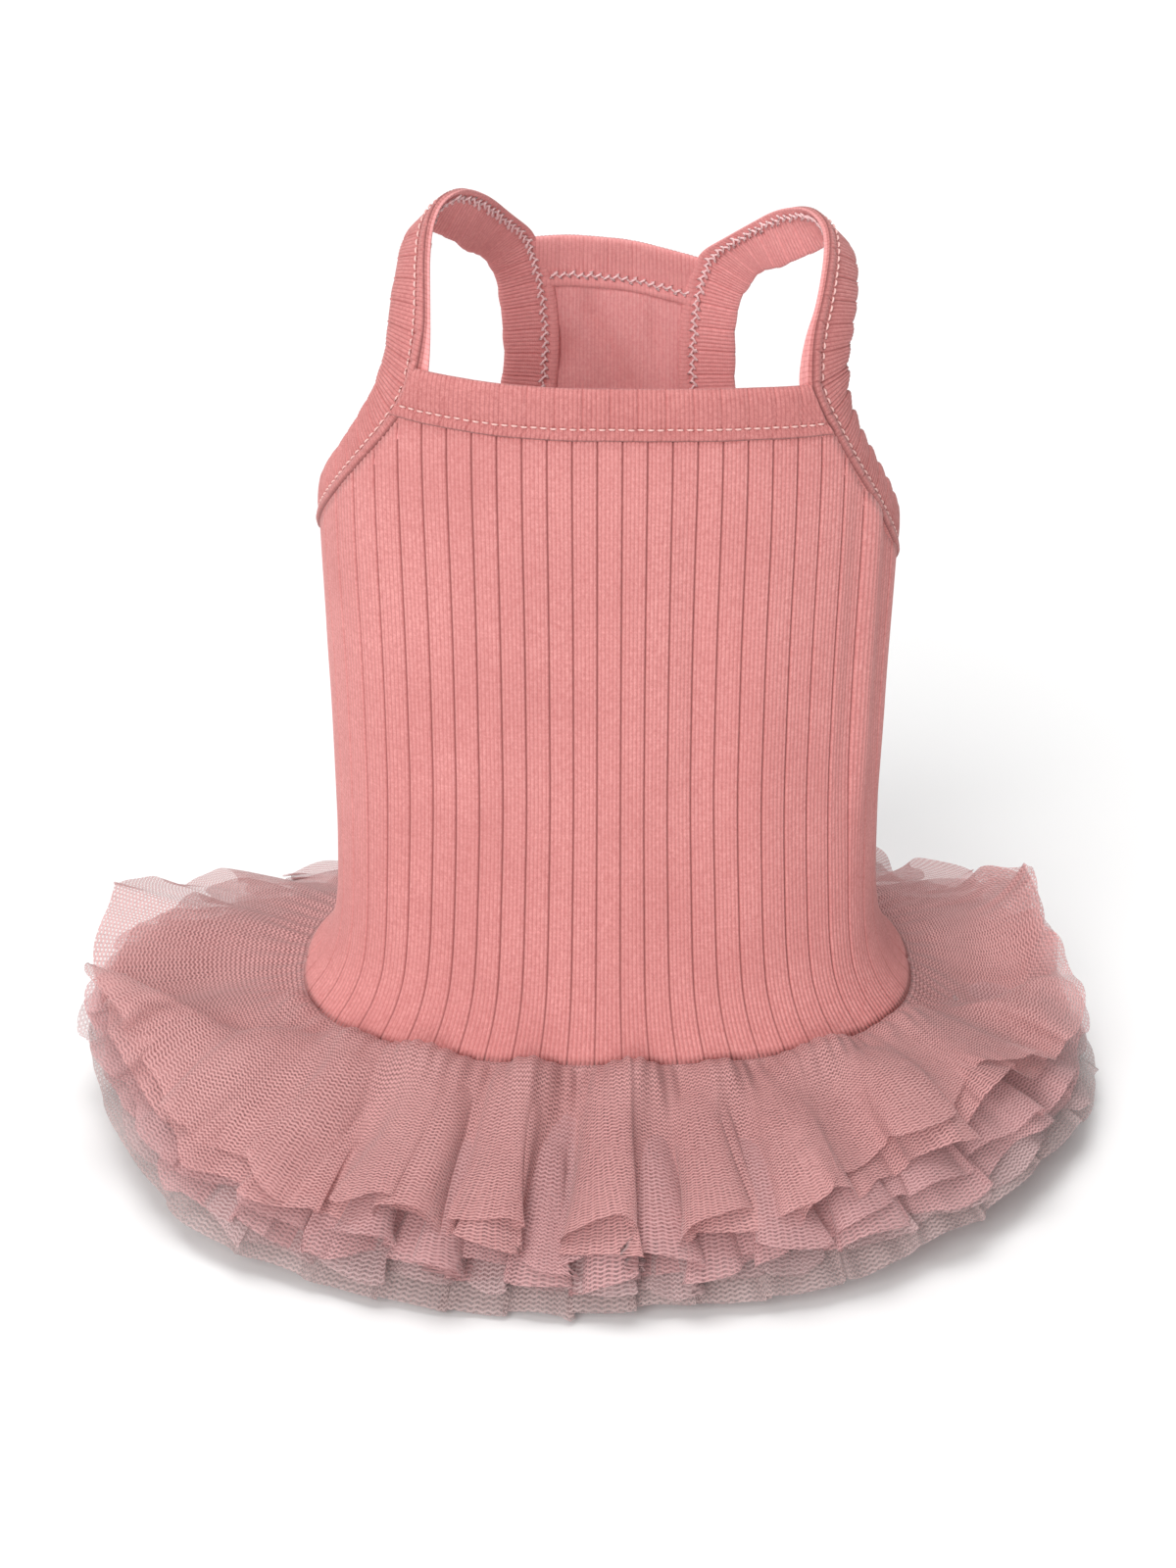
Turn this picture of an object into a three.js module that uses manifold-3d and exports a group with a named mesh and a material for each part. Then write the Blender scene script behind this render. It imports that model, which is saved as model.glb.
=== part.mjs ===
// A small dog's dress: a ribbed knit camisole bodice with folded bands, shoulder straps that are
// one piece with the armhole bindings, and a tutu of three gathered tulle layers.
// It has the hollow form that it takes when worn. Millimetres, +Z up, -Y is the dress's front.
// The origin lies between the shoulder straps, where the wearer carries the dress.
import * as THREE from "three";
import { mergeVertices } from "three/addons/utils/BufferGeometryUtils.js";
import Module from "manifold-3d";

const wasm = await Module();
wasm.setup();

// ---------------------------------------------------------------- driving sizes
const SHOULDER_HEIGHT = 195; // from the hem seam up to the origin
const RIBS_ROUND = 58; // wide ribs round the whole body
const RIB_SPREAD = 0.1; // how much closer than on average the ribs lie at centre front and back
const SECTION_POWER = 2.5; // 2 is an ellipse, more is squarer
const SEAM_GAP = 0.3; // between pieces that are sewn together
const KNIT_HALF_WALL = 0.75;
const GROOVE_DEPTH = 0.55; // of the dropped stitch between two wide ribs
const GROOVE_HALF_WIDTH = 0.16; // as a share of a rib's pitch
const BINDING_WIDTH = 12.5;
const NECK_BAND_WIDTH = 12;
const TULLE_HALF_WALL = 0.5;

// The body's outline, from the hem up: half width, and depth in front of and behind the middle.
const BODY = [
  { z: -6, half: 84, front: 59, back: 59 },
  { z: 0, half: 79, front: 54, back: 54 },
  { z: 7, half: 73.5, front: 48.5, back: 48.5 },
  { z: 16, half: 70, front: 44.5, back: 44.5 },
  { z: 32, half: 68.5, front: 42.5, back: 42.5 },
  { z: 80, half: 68.5, front: 42, back: 42 },
  { z: 125, half: 69.5, front: 42, back: 42 },
  { z: 156, half: 69, front: 42, back: 41 },
  { z: 172, half: 67.5, front: 40.5, back: 38.5 },
  { z: 186, half: 65, front: 38, back: 33 },
  { z: 200, half: 62, front: 35, back: 28 },
];
const CHEST = { half: 69, depth: 42 }; // the section whose girth sets the ribs' spacing

// Neck seams: height in the middle, rise per millimetre towards +X, and how far the line bows up
// at BOW_REACH to each side.
const NECK = {
  front: { seam: 156, slope: 0, left: 2.8, right: -1 },
  back: { seam: 171.6, slope: -0.125, left: -10, right: -10 },
};
const BOW_REACH = 45;

// The armhole seam, where the binding meets the bodice: distance along the cloth from the centre
// front (or centre back), and height, from the neck corner down to the side seam.
const ARMHOLE = {
  left: {
    front: [
      { along: 43, z: 172 },
      { along: 45.5, z: 164 },
      { along: 49.5, z: 157 },
      { along: 57, z: 148.3 },
      { along: 63.5, z: 141.5 },
      { along: 71, z: 134.3 },
      { along: 82, z: 125.5 },
      { along: 92.5, z: 119 },
    ],
    back: [
      { along: 19.5, z: 185 },
      { along: 16, z: 174 },
      { along: 14.2, z: 163 },
      { along: 14, z: 150 },
      { along: 16, z: 136 },
      { along: 23, z: 123.5 },
      { along: 37, z: 115 },
      { along: 56, z: 112 },
      { along: 76, z: 114 },
    ],
  },
  right: {
    front: [
      { along: 44.5, z: 172 },
      { along: 46.5, z: 164 },
      { along: 50.5, z: 156.5 },
      { along: 57.5, z: 145 },
      { along: 64.5, z: 135.5 },
      { along: 72, z: 126 },
      { along: 82, z: 117 },
      { along: 92.5, z: 111 },
    ],
    back: [
      { along: 24.5, z: 179.5 },
      { along: 21, z: 169 },
      { along: 19.8, z: 158 },
      { along: 19.6, z: 146 },
      { along: 21.5, z: 132 },
      { along: 28.5, z: 119 },
      { along: 42, z: 109.5 },
      { along: 60, z: 105.5 },
      { along: 78, z: 106.5 },
    ],
  },
};
const STRAP_FOOT = 0.035; // share of the seam that is under the strap's foot
const BINDING_TUCK = 5; // how far the armhole's free edge is drawn in, in front
const ARMHOLE_HEART_Z = 186; // every point of an armhole's seam is in plain sight from here

// The straps, from the front neck corner over the shoulder to the back neck corner: the edge on
// the neck's side, and the edge on the arm's side.
const STRAP = {
  left: [
    { neck: [-41.7, -30, 178], arm: [-51.4, -22, 176.5] },
    { neck: [-41.7, -24, 185.8], arm: [-49.9, -14.8, 183.8] },
    { neck: [-41.9, -17, 192], arm: [-49.1, -6.8, 190.4] },
    { neck: [-41.3, -10, 197.8], arm: [-47.6, 0.2, 193.8] },
    { neck: [-39.2, -4, 201.6], arm: [-45.4, 4.4, 194.6] },
    { neck: [-35, 3, 202.8], arm: [-42.2, 6, 192.8] },
    { neck: [-29.9, 12, 199.3], arm: [-37.6, 11, 188.6] },
    { neck: [-24.9, 22, 193], arm: [-33.2, 20, 182.6] },
  ],
  right: [
    { neck: [45.6, -31, 177], arm: [56, -25.5, 172.5] },
    { neck: [47.4, -26, 182.5], arm: [56.8, -18.5, 178.5] },
    { neck: [49, -20, 188], arm: [57.6, -11.5, 184.4] },
    { neck: [50.1, -13, 193], arm: [57.8, -4.4, 188.6] },
    { neck: [49.8, -5.5, 196.6], arm: [56.2, 3.2, 190.4] },
    { neck: [46.6, 3, 198.3], arm: [51.4, 8.4, 188] },
    { neck: [41, 12, 195.7], arm: [45.8, 12.4, 184.2] },
    { neck: [35.4, 20.5, 190.6], arm: [39.9, 18.2, 179] },
  ],
};

// A cut through a folded band or binding, from its seam (0) to its fold (1): how far its outer
// and inner faces stand off the cloth's middle. The ridge is the stitched-down edge.
const BAND_CUT = {
  outer: [
    { across: 0, off: 0.5 },
    { across: 0.06, off: 1.75 },
    { across: 0.2, off: 1.75 },
    { across: 0.27, off: 1.15 },
    { across: 0.55, off: 1.6 },
    { across: 0.88, off: 1.45 },
    { across: 1, off: 0.3 },
  ],
  inner: [
    { across: 0.93, off: -0.85 },
    { across: 0.05, off: -0.85 },
  ],
};
const CROSS_GROOVE = 0.35; // of the ribs that run across a binding

// The tutu's layers, top first: how much each falls short of the longest, how far it stands off
// the tutu's middle at the rim, how deep it takes the shared waves and how much of the folds.
// own is each layer's smaller waves.
const LAYERS = [
  { name: "tulle_top", short: 12, rise: 6.5, wave: 5.6, fold: 1, own: { count: 29, size: 1, turn: 0.4 } },
  { name: "tulle_middle", short: 6, rise: 0, wave: 4, fold: 0.5, own: { count: 37, size: 1, turn: 2.1 } },
  { name: "tulle_bottom", short: 0, rise: -6, wave: 2.4, fold: 0.12, own: { count: 43, size: 0.9, turn: 4.4 } },
];
const FULL_LENGTH = 62; // of the longest layer, from the hem seam to its rim
const LAYER_STEP = 1.35; // between the layers' roots, under the hem seam
const SHARED_WAVES = { count: 18, sway: 3 };
const TULLE_ROWS = [0, 0.2, 0.58, 1];
const TULLE_COLUMNS = 144;

// How the tutu stands out, all round: azimuth from the front centre towards +X, the slope down
// in degrees, its reach as a share of its full length, and how much of their shortness the
// upper layers show.
const SPREAD = [
  { azimuth: 0, droop: 26, reach: 0.95, stagger: 1 },
  { azimuth: 15, droop: 25, reach: 0.93, stagger: 1 },
  { azimuth: 30, droop: 22, reach: 0.85, stagger: 1 },
  { azimuth: 45, droop: 20, reach: 0.8, stagger: 1 },
  { azimuth: 60, droop: 20, reach: 0.81, stagger: 0.9 },
  { azimuth: 75, droop: 21, reach: 0.85, stagger: 0.8 },
  { azimuth: 90, droop: 23, reach: 0.9, stagger: 1.15 },
  { azimuth: 105, droop: 21, reach: 0.86, stagger: 1 },
  { azimuth: 125, droop: 14, reach: 0.85, stagger: 0.5 },
  { azimuth: 150, droop: 22, reach: 0.84, stagger: 0.6 },
  { azimuth: 180, droop: 20, reach: 0.92, stagger: 0.8 },
  { azimuth: 205, droop: 26, reach: 0.94, stagger: 0.6 },
  { azimuth: 225, droop: 20, reach: 0.98, stagger: 0.3 },
  { azimuth: 240, droop: 12, reach: 0.98, stagger: 0.2 },
  { azimuth: 255, droop: 8, reach: 0.96, stagger: 0.2 },
  { azimuth: 270, droop: 10, reach: 0.96, stagger: 0.2 },
  { azimuth: 285, droop: 14, reach: 0.92, stagger: 0.4 },
  { azimuth: 300, droop: 17, reach: 0.9, stagger: 0.7 },
  { azimuth: 315, droop: 20, reach: 0.93, stagger: 0.9 },
  { azimuth: 330, droop: 24, reach: 0.96, stagger: 1 },
  { azimuth: 345, droop: 27, reach: 0.97, stagger: 1 },
];

// The tutu's largest folds: where the top layer's rim is lifted, over what half angle, how far.
const FOLDS = [
  { azimuth: 106, half: 36, lift: 33 },
  { azimuth: 264, half: 22, lift: 7 },
  { azimuth: 296, half: 14, lift: 5 },
  { azimuth: 22, half: 13, lift: 5 },
  { azimuth: 342, half: 14, lift: 5 },
];

// ---------------------------------------------------------------- small helpers
const toRadians = THREE.MathUtils.degToRad;

// A smooth line through a table's rows: the value of one column at a place along another.
function readTable(rows, along, column, at) {
  const last = rows.length - 1;
  let i = rows.findIndex((row) => row[along] > at) - 1;
  if (i === -2) i = last - 1;
  i = Math.max(0, i);
  const [a, b] = [rows[i], rows[i + 1]];
  const slope = (lo, hi) => (rows[hi][column] - rows[lo][column]) / (rows[hi][along] - rows[lo][along]);
  const span = b[along] - a[along];
  const f = THREE.MathUtils.clamp((at - a[along]) / span, 0, 1);
  const start = slope(Math.max(0, i - 1), i + 1) * span;
  const end = slope(i, Math.min(last, i + 2)) * span;
  return (
    a[column] * (1 + 2 * f) * (1 - f) ** 2 + start * f * (1 - f) ** 2 +
    b[column] * f * f * (3 - 2 * f) + end * f * f * (f - 1)
  );
}

// The same on a table that goes once round, in degrees.
function readRound(rows, column, degrees) {
  const before = rows.slice(-2).map((row) => ({ ...row, azimuth: row.azimuth - 360 }));
  const after = rows.slice(0, 3).map((row) => ({ ...row, azimuth: row.azimuth + 360 }));
  return readTable([...before, ...rows, ...after], "azimuth", column, ((degrees % 360) + 360) % 360);
}

function toGeometry(points, triangles) {
  const geometry = new THREE.BufferGeometry();
  geometry.setAttribute("position", new THREE.Float32BufferAttribute(points.flatMap((p) => p.toArray()), 3));
  geometry.setIndex(triangles.flat());
  return geometry;
}

function toSolid(geometry) {
  const merged = mergeVertices(geometry, 1e-4);
  return new wasm.Manifold(
    new wasm.Mesh({
      numProp: 3,
      vertProperties: merged.attributes.position.array,
      triVerts: new Uint32Array(merged.index.array),
    }),
  );
}

function fromSolid(solid) {
  const mesh = solid.getMesh();
  const geometry = new THREE.BufferGeometry();
  geometry.setAttribute("position", new THREE.BufferAttribute(new Float32Array(mesh.vertProperties), 3));
  geometry.setIndex(new THREE.BufferAttribute(mesh.triVerts, 1));
  return geometry;
}

// ---------------------------------------------------------------- the body's surface
// The section as a table of arc length, so that distances along the cloth are true.
const SECTION = (() => {
  const steps = 1440;
  const corner = (angle) => [
    Math.sign(Math.sin(angle)) * Math.abs(Math.sin(angle)) ** (2 / SECTION_POWER),
    -Math.sign(Math.cos(angle)) * Math.abs(Math.cos(angle)) ** (2 / SECTION_POWER),
  ];
  const rows = [{ x: 0, y: -1, along: 0 }];
  for (let i = 1; i <= steps; i++) {
    const [x, y] = corner((2 * Math.PI * i) / steps);
    const last = rows[i - 1];
    const step = Math.hypot((x - last.x) * CHEST.half, (y - last.y) * CHEST.depth);
    rows.push({ x, y, along: last.along + step });
  }
  return rows;
})();
const GIRTH = SECTION[SECTION.length - 1].along;
const SIDE = GIRTH / 4;

function sectionAt(along) {
  const at = ((along % GIRTH) + GIRTH) % GIRTH;
  let [low, high] = [0, SECTION.length - 1];
  while (high - low > 1) {
    const middle = (low + high) >> 1;
    if (SECTION[middle].along <= at) low = middle;
    else high = middle;
  }
  const f = (at - SECTION[low].along) / (SECTION[high].along - SECTION[low].along);
  return {
    x: THREE.MathUtils.lerp(SECTION[low].x, SECTION[high].x, f),
    y: THREE.MathUtils.lerp(SECTION[low].y, SECTION[high].y, f),
  };
}

function bodySkin(along, z) {
  const { x, y } = sectionAt(along);
  const half = readTable(BODY, "z", "half", z);
  const depth = readTable(BODY, "z", y < 0 ? "front" : "back", z);
  return new THREE.Vector3(x * half, y * depth, z);
}

// A point on the body, off the cloth's middle by that much. along is measured round the body
// from the centre front towards +X.
function bodyPoint(along, z, off = 0) {
  const step = 0.8;
  const round = bodySkin(along + step, z).sub(bodySkin(along - step, z));
  const up = bodySkin(along, z + step).sub(bodySkin(along, z - step));
  return bodySkin(along, z).addScaledVector(round.cross(up).normalize(), off);
}

// ---------------------------------------------------------------- knit panels and bands
// A groove and its two shoulders, as shares of a rib.
const grooveColumns = [0, GROOVE_HALF_WIDTH, 1 - GROOVE_HALF_WIDTH];

// Where a rib's edge lies along the cloth: closest at centre front and back, where rib is 0 and
// half of RIBS_ROUND, and drawn wider round the sides.
function ribAlong(rib) {
  const halfTurns = Math.round((2 * rib) / RIBS_ROUND);
  const share = (4 * rib) / RIBS_ROUND - 2 * halfTurns;
  return SIDE * (2 * halfTurns + share * (1 - RIB_SPREAD) + RIB_SPREAD * Math.sign(share) * share ** 4);
}

// A wall from its outer and inner grids of points, with a rim that joins grids of unlike width.
function wallGeometry(outer, inner) {
  const points = [];
  const triangles = [];
  const put = (grid) => grid.map((row) => row.map((p) => points.push(p) - 1));
  const [outside, inside] = [put(outer), put(inner)];
  const skin = (grid, flip) => {
    for (let r = 0; r + 1 < grid.length; r++)
      for (let c = 0; c + 1 < grid[r].length; c++) {
        const [a, b, d, e] = [grid[r][c], grid[r][c + 1], grid[r + 1][c + 1], grid[r + 1][c]];
        triangles.push(...(flip ? [[a, d, b], [a, e, d]] : [[a, b, d], [a, d, e]]));
      }
  };
  skin(outside, false);
  skin(inside, true);
  // Two edges side by side, joined by triangles that keep level as they go.
  const stitch = (first, second) => {
    let [i, j] = [0, 0];
    while (i + 1 < first.length || j + 1 < second.length) {
      const next = (i + 1) / (first.length - 1) <= (j + 1) / (second.length - 1) + 1e-9;
      if (j + 1 === second.length || (next && i + 1 < first.length))
        triangles.push([first[i], second[j], first[++i]]);
      else triangles.push([first[i], second[j], second[++j]]);
    }
  };
  const last = (row) => row[row.length - 1];
  stitch(outside[0], inside[0]);
  stitch([...last(outside)].reverse(), [...last(inside)].reverse());
  stitch(outside.map((row) => row[0]).reverse(), inside.map((row) => row[0]).reverse());
  stitch(outside.map(last), inside.map(last));
  return toGeometry(points, triangles);
}

// Places along the cloth from one rib to another: three to a rib, and one to a rib.
function ribColumns(first, last) {
  const fine = [];
  for (let rib = first; rib < last; rib++)
    for (const share of grooveColumns) fine.push({ along: ribAlong(rib + share), sunk: share === 0 });
  fine.push({ along: ribAlong(last), sunk: true });
  const coarse = [];
  for (let rib = first; rib <= last; rib++) coarse.push({ along: ribAlong(rib) });
  return { fine, coarse };
}

// A knit panel between two ribs, from the hem up to a height that may slope.
function knitPanel(first, last, rows, topOf) {
  const { fine, coarse } = ribColumns(first, last);
  const inset = (columns) =>
    columns.map((c, i) => ({
      ...c,
      along: c.along + (i === 0 ? SEAM_GAP / 2 : i === columns.length - 1 ? -SEAM_GAP / 2 : 0),
    }));
  const grid = (columns, offOf) =>
    rows.map((share) =>
      columns.map((c) => {
        if (share === 0) return bodyPoint(c.along, 0, offOf(c)).setZ(SEAM_GAP / 2);
        return bodyPoint(c.along, share < 1 ? share * NECK.front.seam : topOf(c.along), offOf(c));
      }),
    );
  const outer = grid(inset(fine), (c) => (c.sunk ? KNIT_HALF_WALL - GROOVE_DEPTH : KNIT_HALF_WALL));
  const inner = grid(inset(coarse), () => -KNIT_HALF_WALL);
  return wallGeometry(outer, inner);
}

// A folded band along the neck: its cut is swept along the seam.
function neckBand(first, last, seamOf) {
  const { fine, coarse } = ribColumns(first, last);
  const rows = (cut, columns, depth) =>
    cut.map(({ across, off }) =>
      columns.map((c) => {
        const z = seamOf(c.along) + SEAM_GAP + across * (NECK_BAND_WIDTH - SEAM_GAP);
        return bodyPoint(c.along, z, off - (c.sunk && across > 0.3 && across < 1 ? depth : 0));
      }),
    );
  const outer = rows(BAND_CUT.outer, fine, CROSS_GROOVE);
  const inner = rows([...BAND_CUT.inner].reverse(), coarse, 0);
  return wallGeometry(outer, inner);
}

// ---------------------------------------------------------------- armholes
// A smooth armhole seam as points round the body: from the front neck corner to the side seam
// and on to the back neck corner. side is -1 on the left and 1 on the right.
function armholeSeam(name) {
  const side = name === "left" ? -1 : 1;
  const { front, back } = ARMHOLE[name];
  const rows = [
    ...front.map(({ along, z }) => new THREE.Vector2(side * along, z)),
    ...[...back].reverse().map(({ along, z }) => new THREE.Vector2(side * (GIRTH / 2 - along), z)),
  ];
  return new THREE.SplineCurve(rows);
}

// What the armhole takes away: everything between its seam and a point over the shoulder.
function armholeCutter(name) {
  const seam = armholeSeam(name).getSpacedPoints(72);
  const heart = new THREE.Vector2((name === "left" ? -1 : 1) * SIDE, ARMHOLE_HEART_Z);
  const shares = [0, 0.2, 0.45, 0.7, 0.94];
  const grid = (off) =>
    shares.map((share) =>
      seam.map((p) => {
        const at = p.clone().lerp(heart, share);
        return bodyPoint(at.x, at.y, off);
      }),
    );
  const reach = 5;
  const [outer, inner] = [grid(reach), grid(-reach)];
  const solid = toSolid(name === "left" ? wallGeometry(inner, outer) : wallGeometry(outer, inner));
  return solid.volume() > 0 ? solid : toSolid(wallGeometry(inner, outer));
}

const cutters = { left: armholeCutter("left"), right: armholeCutter("right") };

function cutArmholes(geometry) {
  return fromSolid(toSolid(geometry).subtract(cutters.left).subtract(cutters.right));
}

// How far the arm's edge of a binding is drawn in off the body's form, at a height.
const drawnIn = (z) => BINDING_TUCK * THREE.MathUtils.smoothstep(z, 118, 145);

// The binding's two edges all the way round an armhole, strap and all.
function bindingEdges(name) {
  const side = name === "left" ? -1 : 1;
  const seam = armholeSeam(name);
  const stations = 58;
  const onBody = [];
  for (let i = 0; i <= stations; i++) {
    const share = THREE.MathUtils.lerp(STRAP_FOOT, 1, i / stations);
    const p = seam.getPointAt(share);
    const ahead = seam.getTangentAt(share);
    const inward = new THREE.Vector2(-ahead.y, ahead.x).multiplyScalar(side);
    const place = (distance, off) => {
      const at = p.clone().addScaledVector(inward, distance);
      return bodyPoint(at.x, at.y, off);
    };
    const tuck = p.x * side < SIDE ? drawnIn(p.y) : 0;
    onBody.push({ neck: place(SEAM_GAP + 0.2, 0), arm: place(BINDING_WIDTH, -tuck) });
  }
  // The strap's rows carry on from the seam's two ends.
  const strap = STRAP[name].map((row) => ({
    neck: new THREE.Vector3(...row.neck),
    arm: new THREE.Vector3(...row.arm),
  }));
  const ends = 2;
  const through = [...onBody.slice(-1 - ends), ...[...strap].reverse(), ...onBody.slice(0, 1 + ends)];
  const curve = (edge) => new THREE.CatmullRomCurve3(through.map((row) => row[edge]), false, "centripetal");
  const [neckCurve, armCurve] = [curve("neck"), curve("arm")];
  const spans = through.length - 1;
  const strapStations = 24;
  const overShoulder = [];
  for (let i = 1; i < strapStations; i++) {
    const t = (ends + ((spans - 2 * ends) * i) / strapStations) / spans;
    overShoulder.push({ neck: neckCurve.getPoint(t), arm: armCurve.getPoint(t) });
  }
  return [...onBody, ...overShoulder];
}

function armholeBinding(name) {
  const side = name === "left" ? -1 : 1;
  const edges = bindingEdges(name);
  const count = edges.length;
  const cut = [...BAND_CUT.outer, ...BAND_CUT.inner];
  const points = [];
  edges.forEach(({ neck, arm }, i) => {
    const before = edges[(i + count - 1) % count];
    const after = edges[(i + 1) % count];
    const ahead = after.neck.clone().add(after.arm).sub(before.neck).sub(before.arm);
    const width = arm.clone().sub(neck);
    const outward = ahead.clone().cross(width).normalize().multiplyScalar(-side);
    for (const { across, off } of cut) {
      const groove = i % 2 && off > 0 && across > 0.25 ? CROSS_GROOVE : 0;
      points.push(neck.clone().addScaledVector(width, across).addScaledVector(outward, off - groove));
    }
  });
  const triangles = [];
  const n = cut.length;
  for (let i = 0; i < count; i++)
    for (let j = 0; j < n; j++) {
      const [a, b] = [i * n + j, i * n + ((j + 1) % n)];
      const [d, e] = [((i + 1) % count) * n + ((j + 1) % n), ((i + 1) % count) * n + j];
      triangles.push(...(side > 0 ? [[a, b, d], [a, d, e]] : [[a, d, b], [a, e, d]]));
    }
  return toGeometry(points, triangles);
}

// ---------------------------------------------------------------- the tutu
const bump = (distance) => (Math.abs(distance) < 1 ? Math.cos((Math.PI * distance) / 2) ** 2 : 0);
const turnBetween = (a, b) => ((((a - b) % 360) + 540) % 360) - 180;

// A point in the middle of a tulle layer. turn goes from 0 to 1 round the hem from the centre
// front towards +X, and out from 0 at the seam to 1 at the rim.
function tullePoint(layer, index, turn, out) {
  const root = bodyPoint(turn * GIRTH, 0);
  const fan = new THREE.Vector3(root.x / BODY[1].half ** 2, root.y / BODY[1].front ** 2, 0).normalize();
  const along = new THREE.Vector3(-fan.y, fan.x, 0);
  const azimuth = THREE.MathUtils.radToDeg(Math.atan2(fan.x, -fan.y));
  const droop = toRadians(readRound(SPREAD, "droop", azimuth));
  const length = FULL_LENGTH * readRound(SPREAD, "reach", azimuth);
  const share = out * (1 - (layer.short / FULL_LENGTH) * readRound(SPREAD, "stagger", azimuth));
  const round = 2 * Math.PI * turn;
  const shared = Math.sin(SHARED_WAVES.count * round + 0.9 * Math.sin(3 * round + 0.5));
  const sway = Math.sin(2 * (SHARED_WAVES.count * round + 0.9 * Math.sin(3 * round + 0.5)));
  const own = layer.own.size * Math.sin(layer.own.count * round + layer.own.turn);
  const wave = layer.wave * (1 + 0.3 * Math.sin(5 * round + 1)) * shared + own;
  const lift = FOLDS.reduce((sum, f) => sum + f.lift * bump(turnBetween(azimuth, f.azimuth) / f.half), 0);
  const swell = share ** 1.15;
  const out2 = Math.cos(droop) * share * (1.16 - 0.16 * share);
  const fall = Math.sin(droop) * share ** 1.25;
  const height =
    -SEAM_GAP - TULLE_HALF_WALL - LAYER_STEP * index - fall * length +
    swell * (wave + layer.rise) + layer.fold * lift * share ** 1.6;
  return root
    .addScaledVector(fan, out2 * length)
    .addScaledVector(along, SHARED_WAVES.sway * sway * swell * share)
    .setZ(height);
}

function tulleLayer(layer, index) {
  const step = 1e-3;
  const face = (side) =>
    TULLE_ROWS.map((out) =>
      Array.from({ length: TULLE_COLUMNS }, (_, i) => {
        const turn = i / TULLE_COLUMNS;
        const place = (dt, ds) => tullePoint(layer, index, turn + dt, out + ds);
        const round = place(step, 0).sub(place(-step, 0));
        const outward = out < 0.5 ? place(0, step).sub(place(0, 0)) : place(0, 0).sub(place(0, -step));
        return place(0, 0).addScaledVector(outward.cross(round).normalize(), side * TULLE_HALF_WALL);
      }),
    );
  const points = [];
  const put = (grid) => grid.map((row) => row.map((p) => points.push(p) - 1));
  const ring = [...put(face(-1)), ...put(face(1)).reverse()];
  const triangles = [];
  ring.forEach((row, r) => {
    const next = ring[(r + 1) % ring.length];
    row.forEach((a, c) => {
      const [b, d, e] = [row[(c + 1) % row.length], next[(c + 1) % row.length], next[c]];
      triangles.push([a, b, d], [a, d, e]);
    });
  });
  return toGeometry(points, triangles);
}

// ---------------------------------------------------------------- the dress
const knit = new THREE.MeshStandardMaterial({ color: 0xd98a88, roughness: 0.9, metalness: 0 });
const bandKnit = new THREE.MeshStandardMaterial({ color: 0xcf7f7e, roughness: 0.9, metalness: 0 });
const tulle = new THREE.MeshStandardMaterial({ color: 0xc39397, roughness: 0.8, metalness: 0 });

const dress = new THREE.Group();
dress.position.z = -SHOULDER_HEIGHT;

function addPiece(name, geometry, material) {
  const mesh = new THREE.Mesh(geometry, material);
  mesh.name = name;
  dress.add(mesh);
}

const quarter = RIBS_ROUND / 4;
const bodyRows = [0, 0.028, 0.065, 0.12, 0.21, 0.5, 0.78, 1];
const neckSeam = (neck) => (along) => {
  const x = bodySkin(along, neck.seam).x;
  return neck.seam + neck.slope * x + (x < 0 ? neck.left : neck.right) * (x / BOW_REACH) ** 2;
};
const frontSeam = neckSeam(NECK.front);
const backSeam = neckSeam(NECK.back);

addPiece("bodice_front", cutArmholes(knitPanel(-quarter, quarter, bodyRows, frontSeam)), knit);
addPiece("bodice_back", cutArmholes(knitPanel(quarter, 3 * quarter, bodyRows, backSeam)), knit);
addPiece("neck_band_front", cutArmholes(neckBand(-9.5, 9.5, frontSeam)), bandKnit);
addPiece("neck_band_back", cutArmholes(neckBand(2 * quarter - 4.5, 2 * quarter + 4.5, backSeam)), bandKnit);
for (const name of ["left", "right"]) addPiece(`strap_binding_${name}`, armholeBinding(name), bandKnit);
LAYERS.forEach((layer, index) => addPiece(layer.name, tulleLayer(layer, index), tulle));

export default dress;
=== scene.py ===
import math

import bmesh
import bpy
import numpy as np
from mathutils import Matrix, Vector


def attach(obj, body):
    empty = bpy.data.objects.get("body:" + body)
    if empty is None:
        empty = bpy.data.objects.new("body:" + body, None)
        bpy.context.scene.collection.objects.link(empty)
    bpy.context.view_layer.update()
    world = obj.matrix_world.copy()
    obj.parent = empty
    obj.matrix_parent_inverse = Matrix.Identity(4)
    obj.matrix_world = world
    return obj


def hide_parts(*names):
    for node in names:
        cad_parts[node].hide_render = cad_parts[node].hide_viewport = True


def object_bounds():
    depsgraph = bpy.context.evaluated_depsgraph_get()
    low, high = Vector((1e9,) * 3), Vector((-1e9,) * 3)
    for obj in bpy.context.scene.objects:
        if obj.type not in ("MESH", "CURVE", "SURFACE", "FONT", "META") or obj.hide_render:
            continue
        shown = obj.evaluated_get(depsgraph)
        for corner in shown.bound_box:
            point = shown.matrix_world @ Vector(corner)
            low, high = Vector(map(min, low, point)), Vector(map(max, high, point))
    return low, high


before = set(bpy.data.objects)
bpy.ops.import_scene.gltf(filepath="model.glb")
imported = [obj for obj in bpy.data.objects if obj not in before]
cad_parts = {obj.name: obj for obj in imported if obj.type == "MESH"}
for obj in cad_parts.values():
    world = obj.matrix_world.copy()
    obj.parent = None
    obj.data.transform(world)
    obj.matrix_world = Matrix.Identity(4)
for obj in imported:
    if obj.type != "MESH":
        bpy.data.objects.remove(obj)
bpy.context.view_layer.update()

# -------- driving sizes, millimetres
SHOULDER_HEIGHT = 195.0
RIBS_ROUND = 58
RIB_SPREAD = 0.1
RIB_WIDTH = 5.9
WALES_PER_RIB = 6
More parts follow.
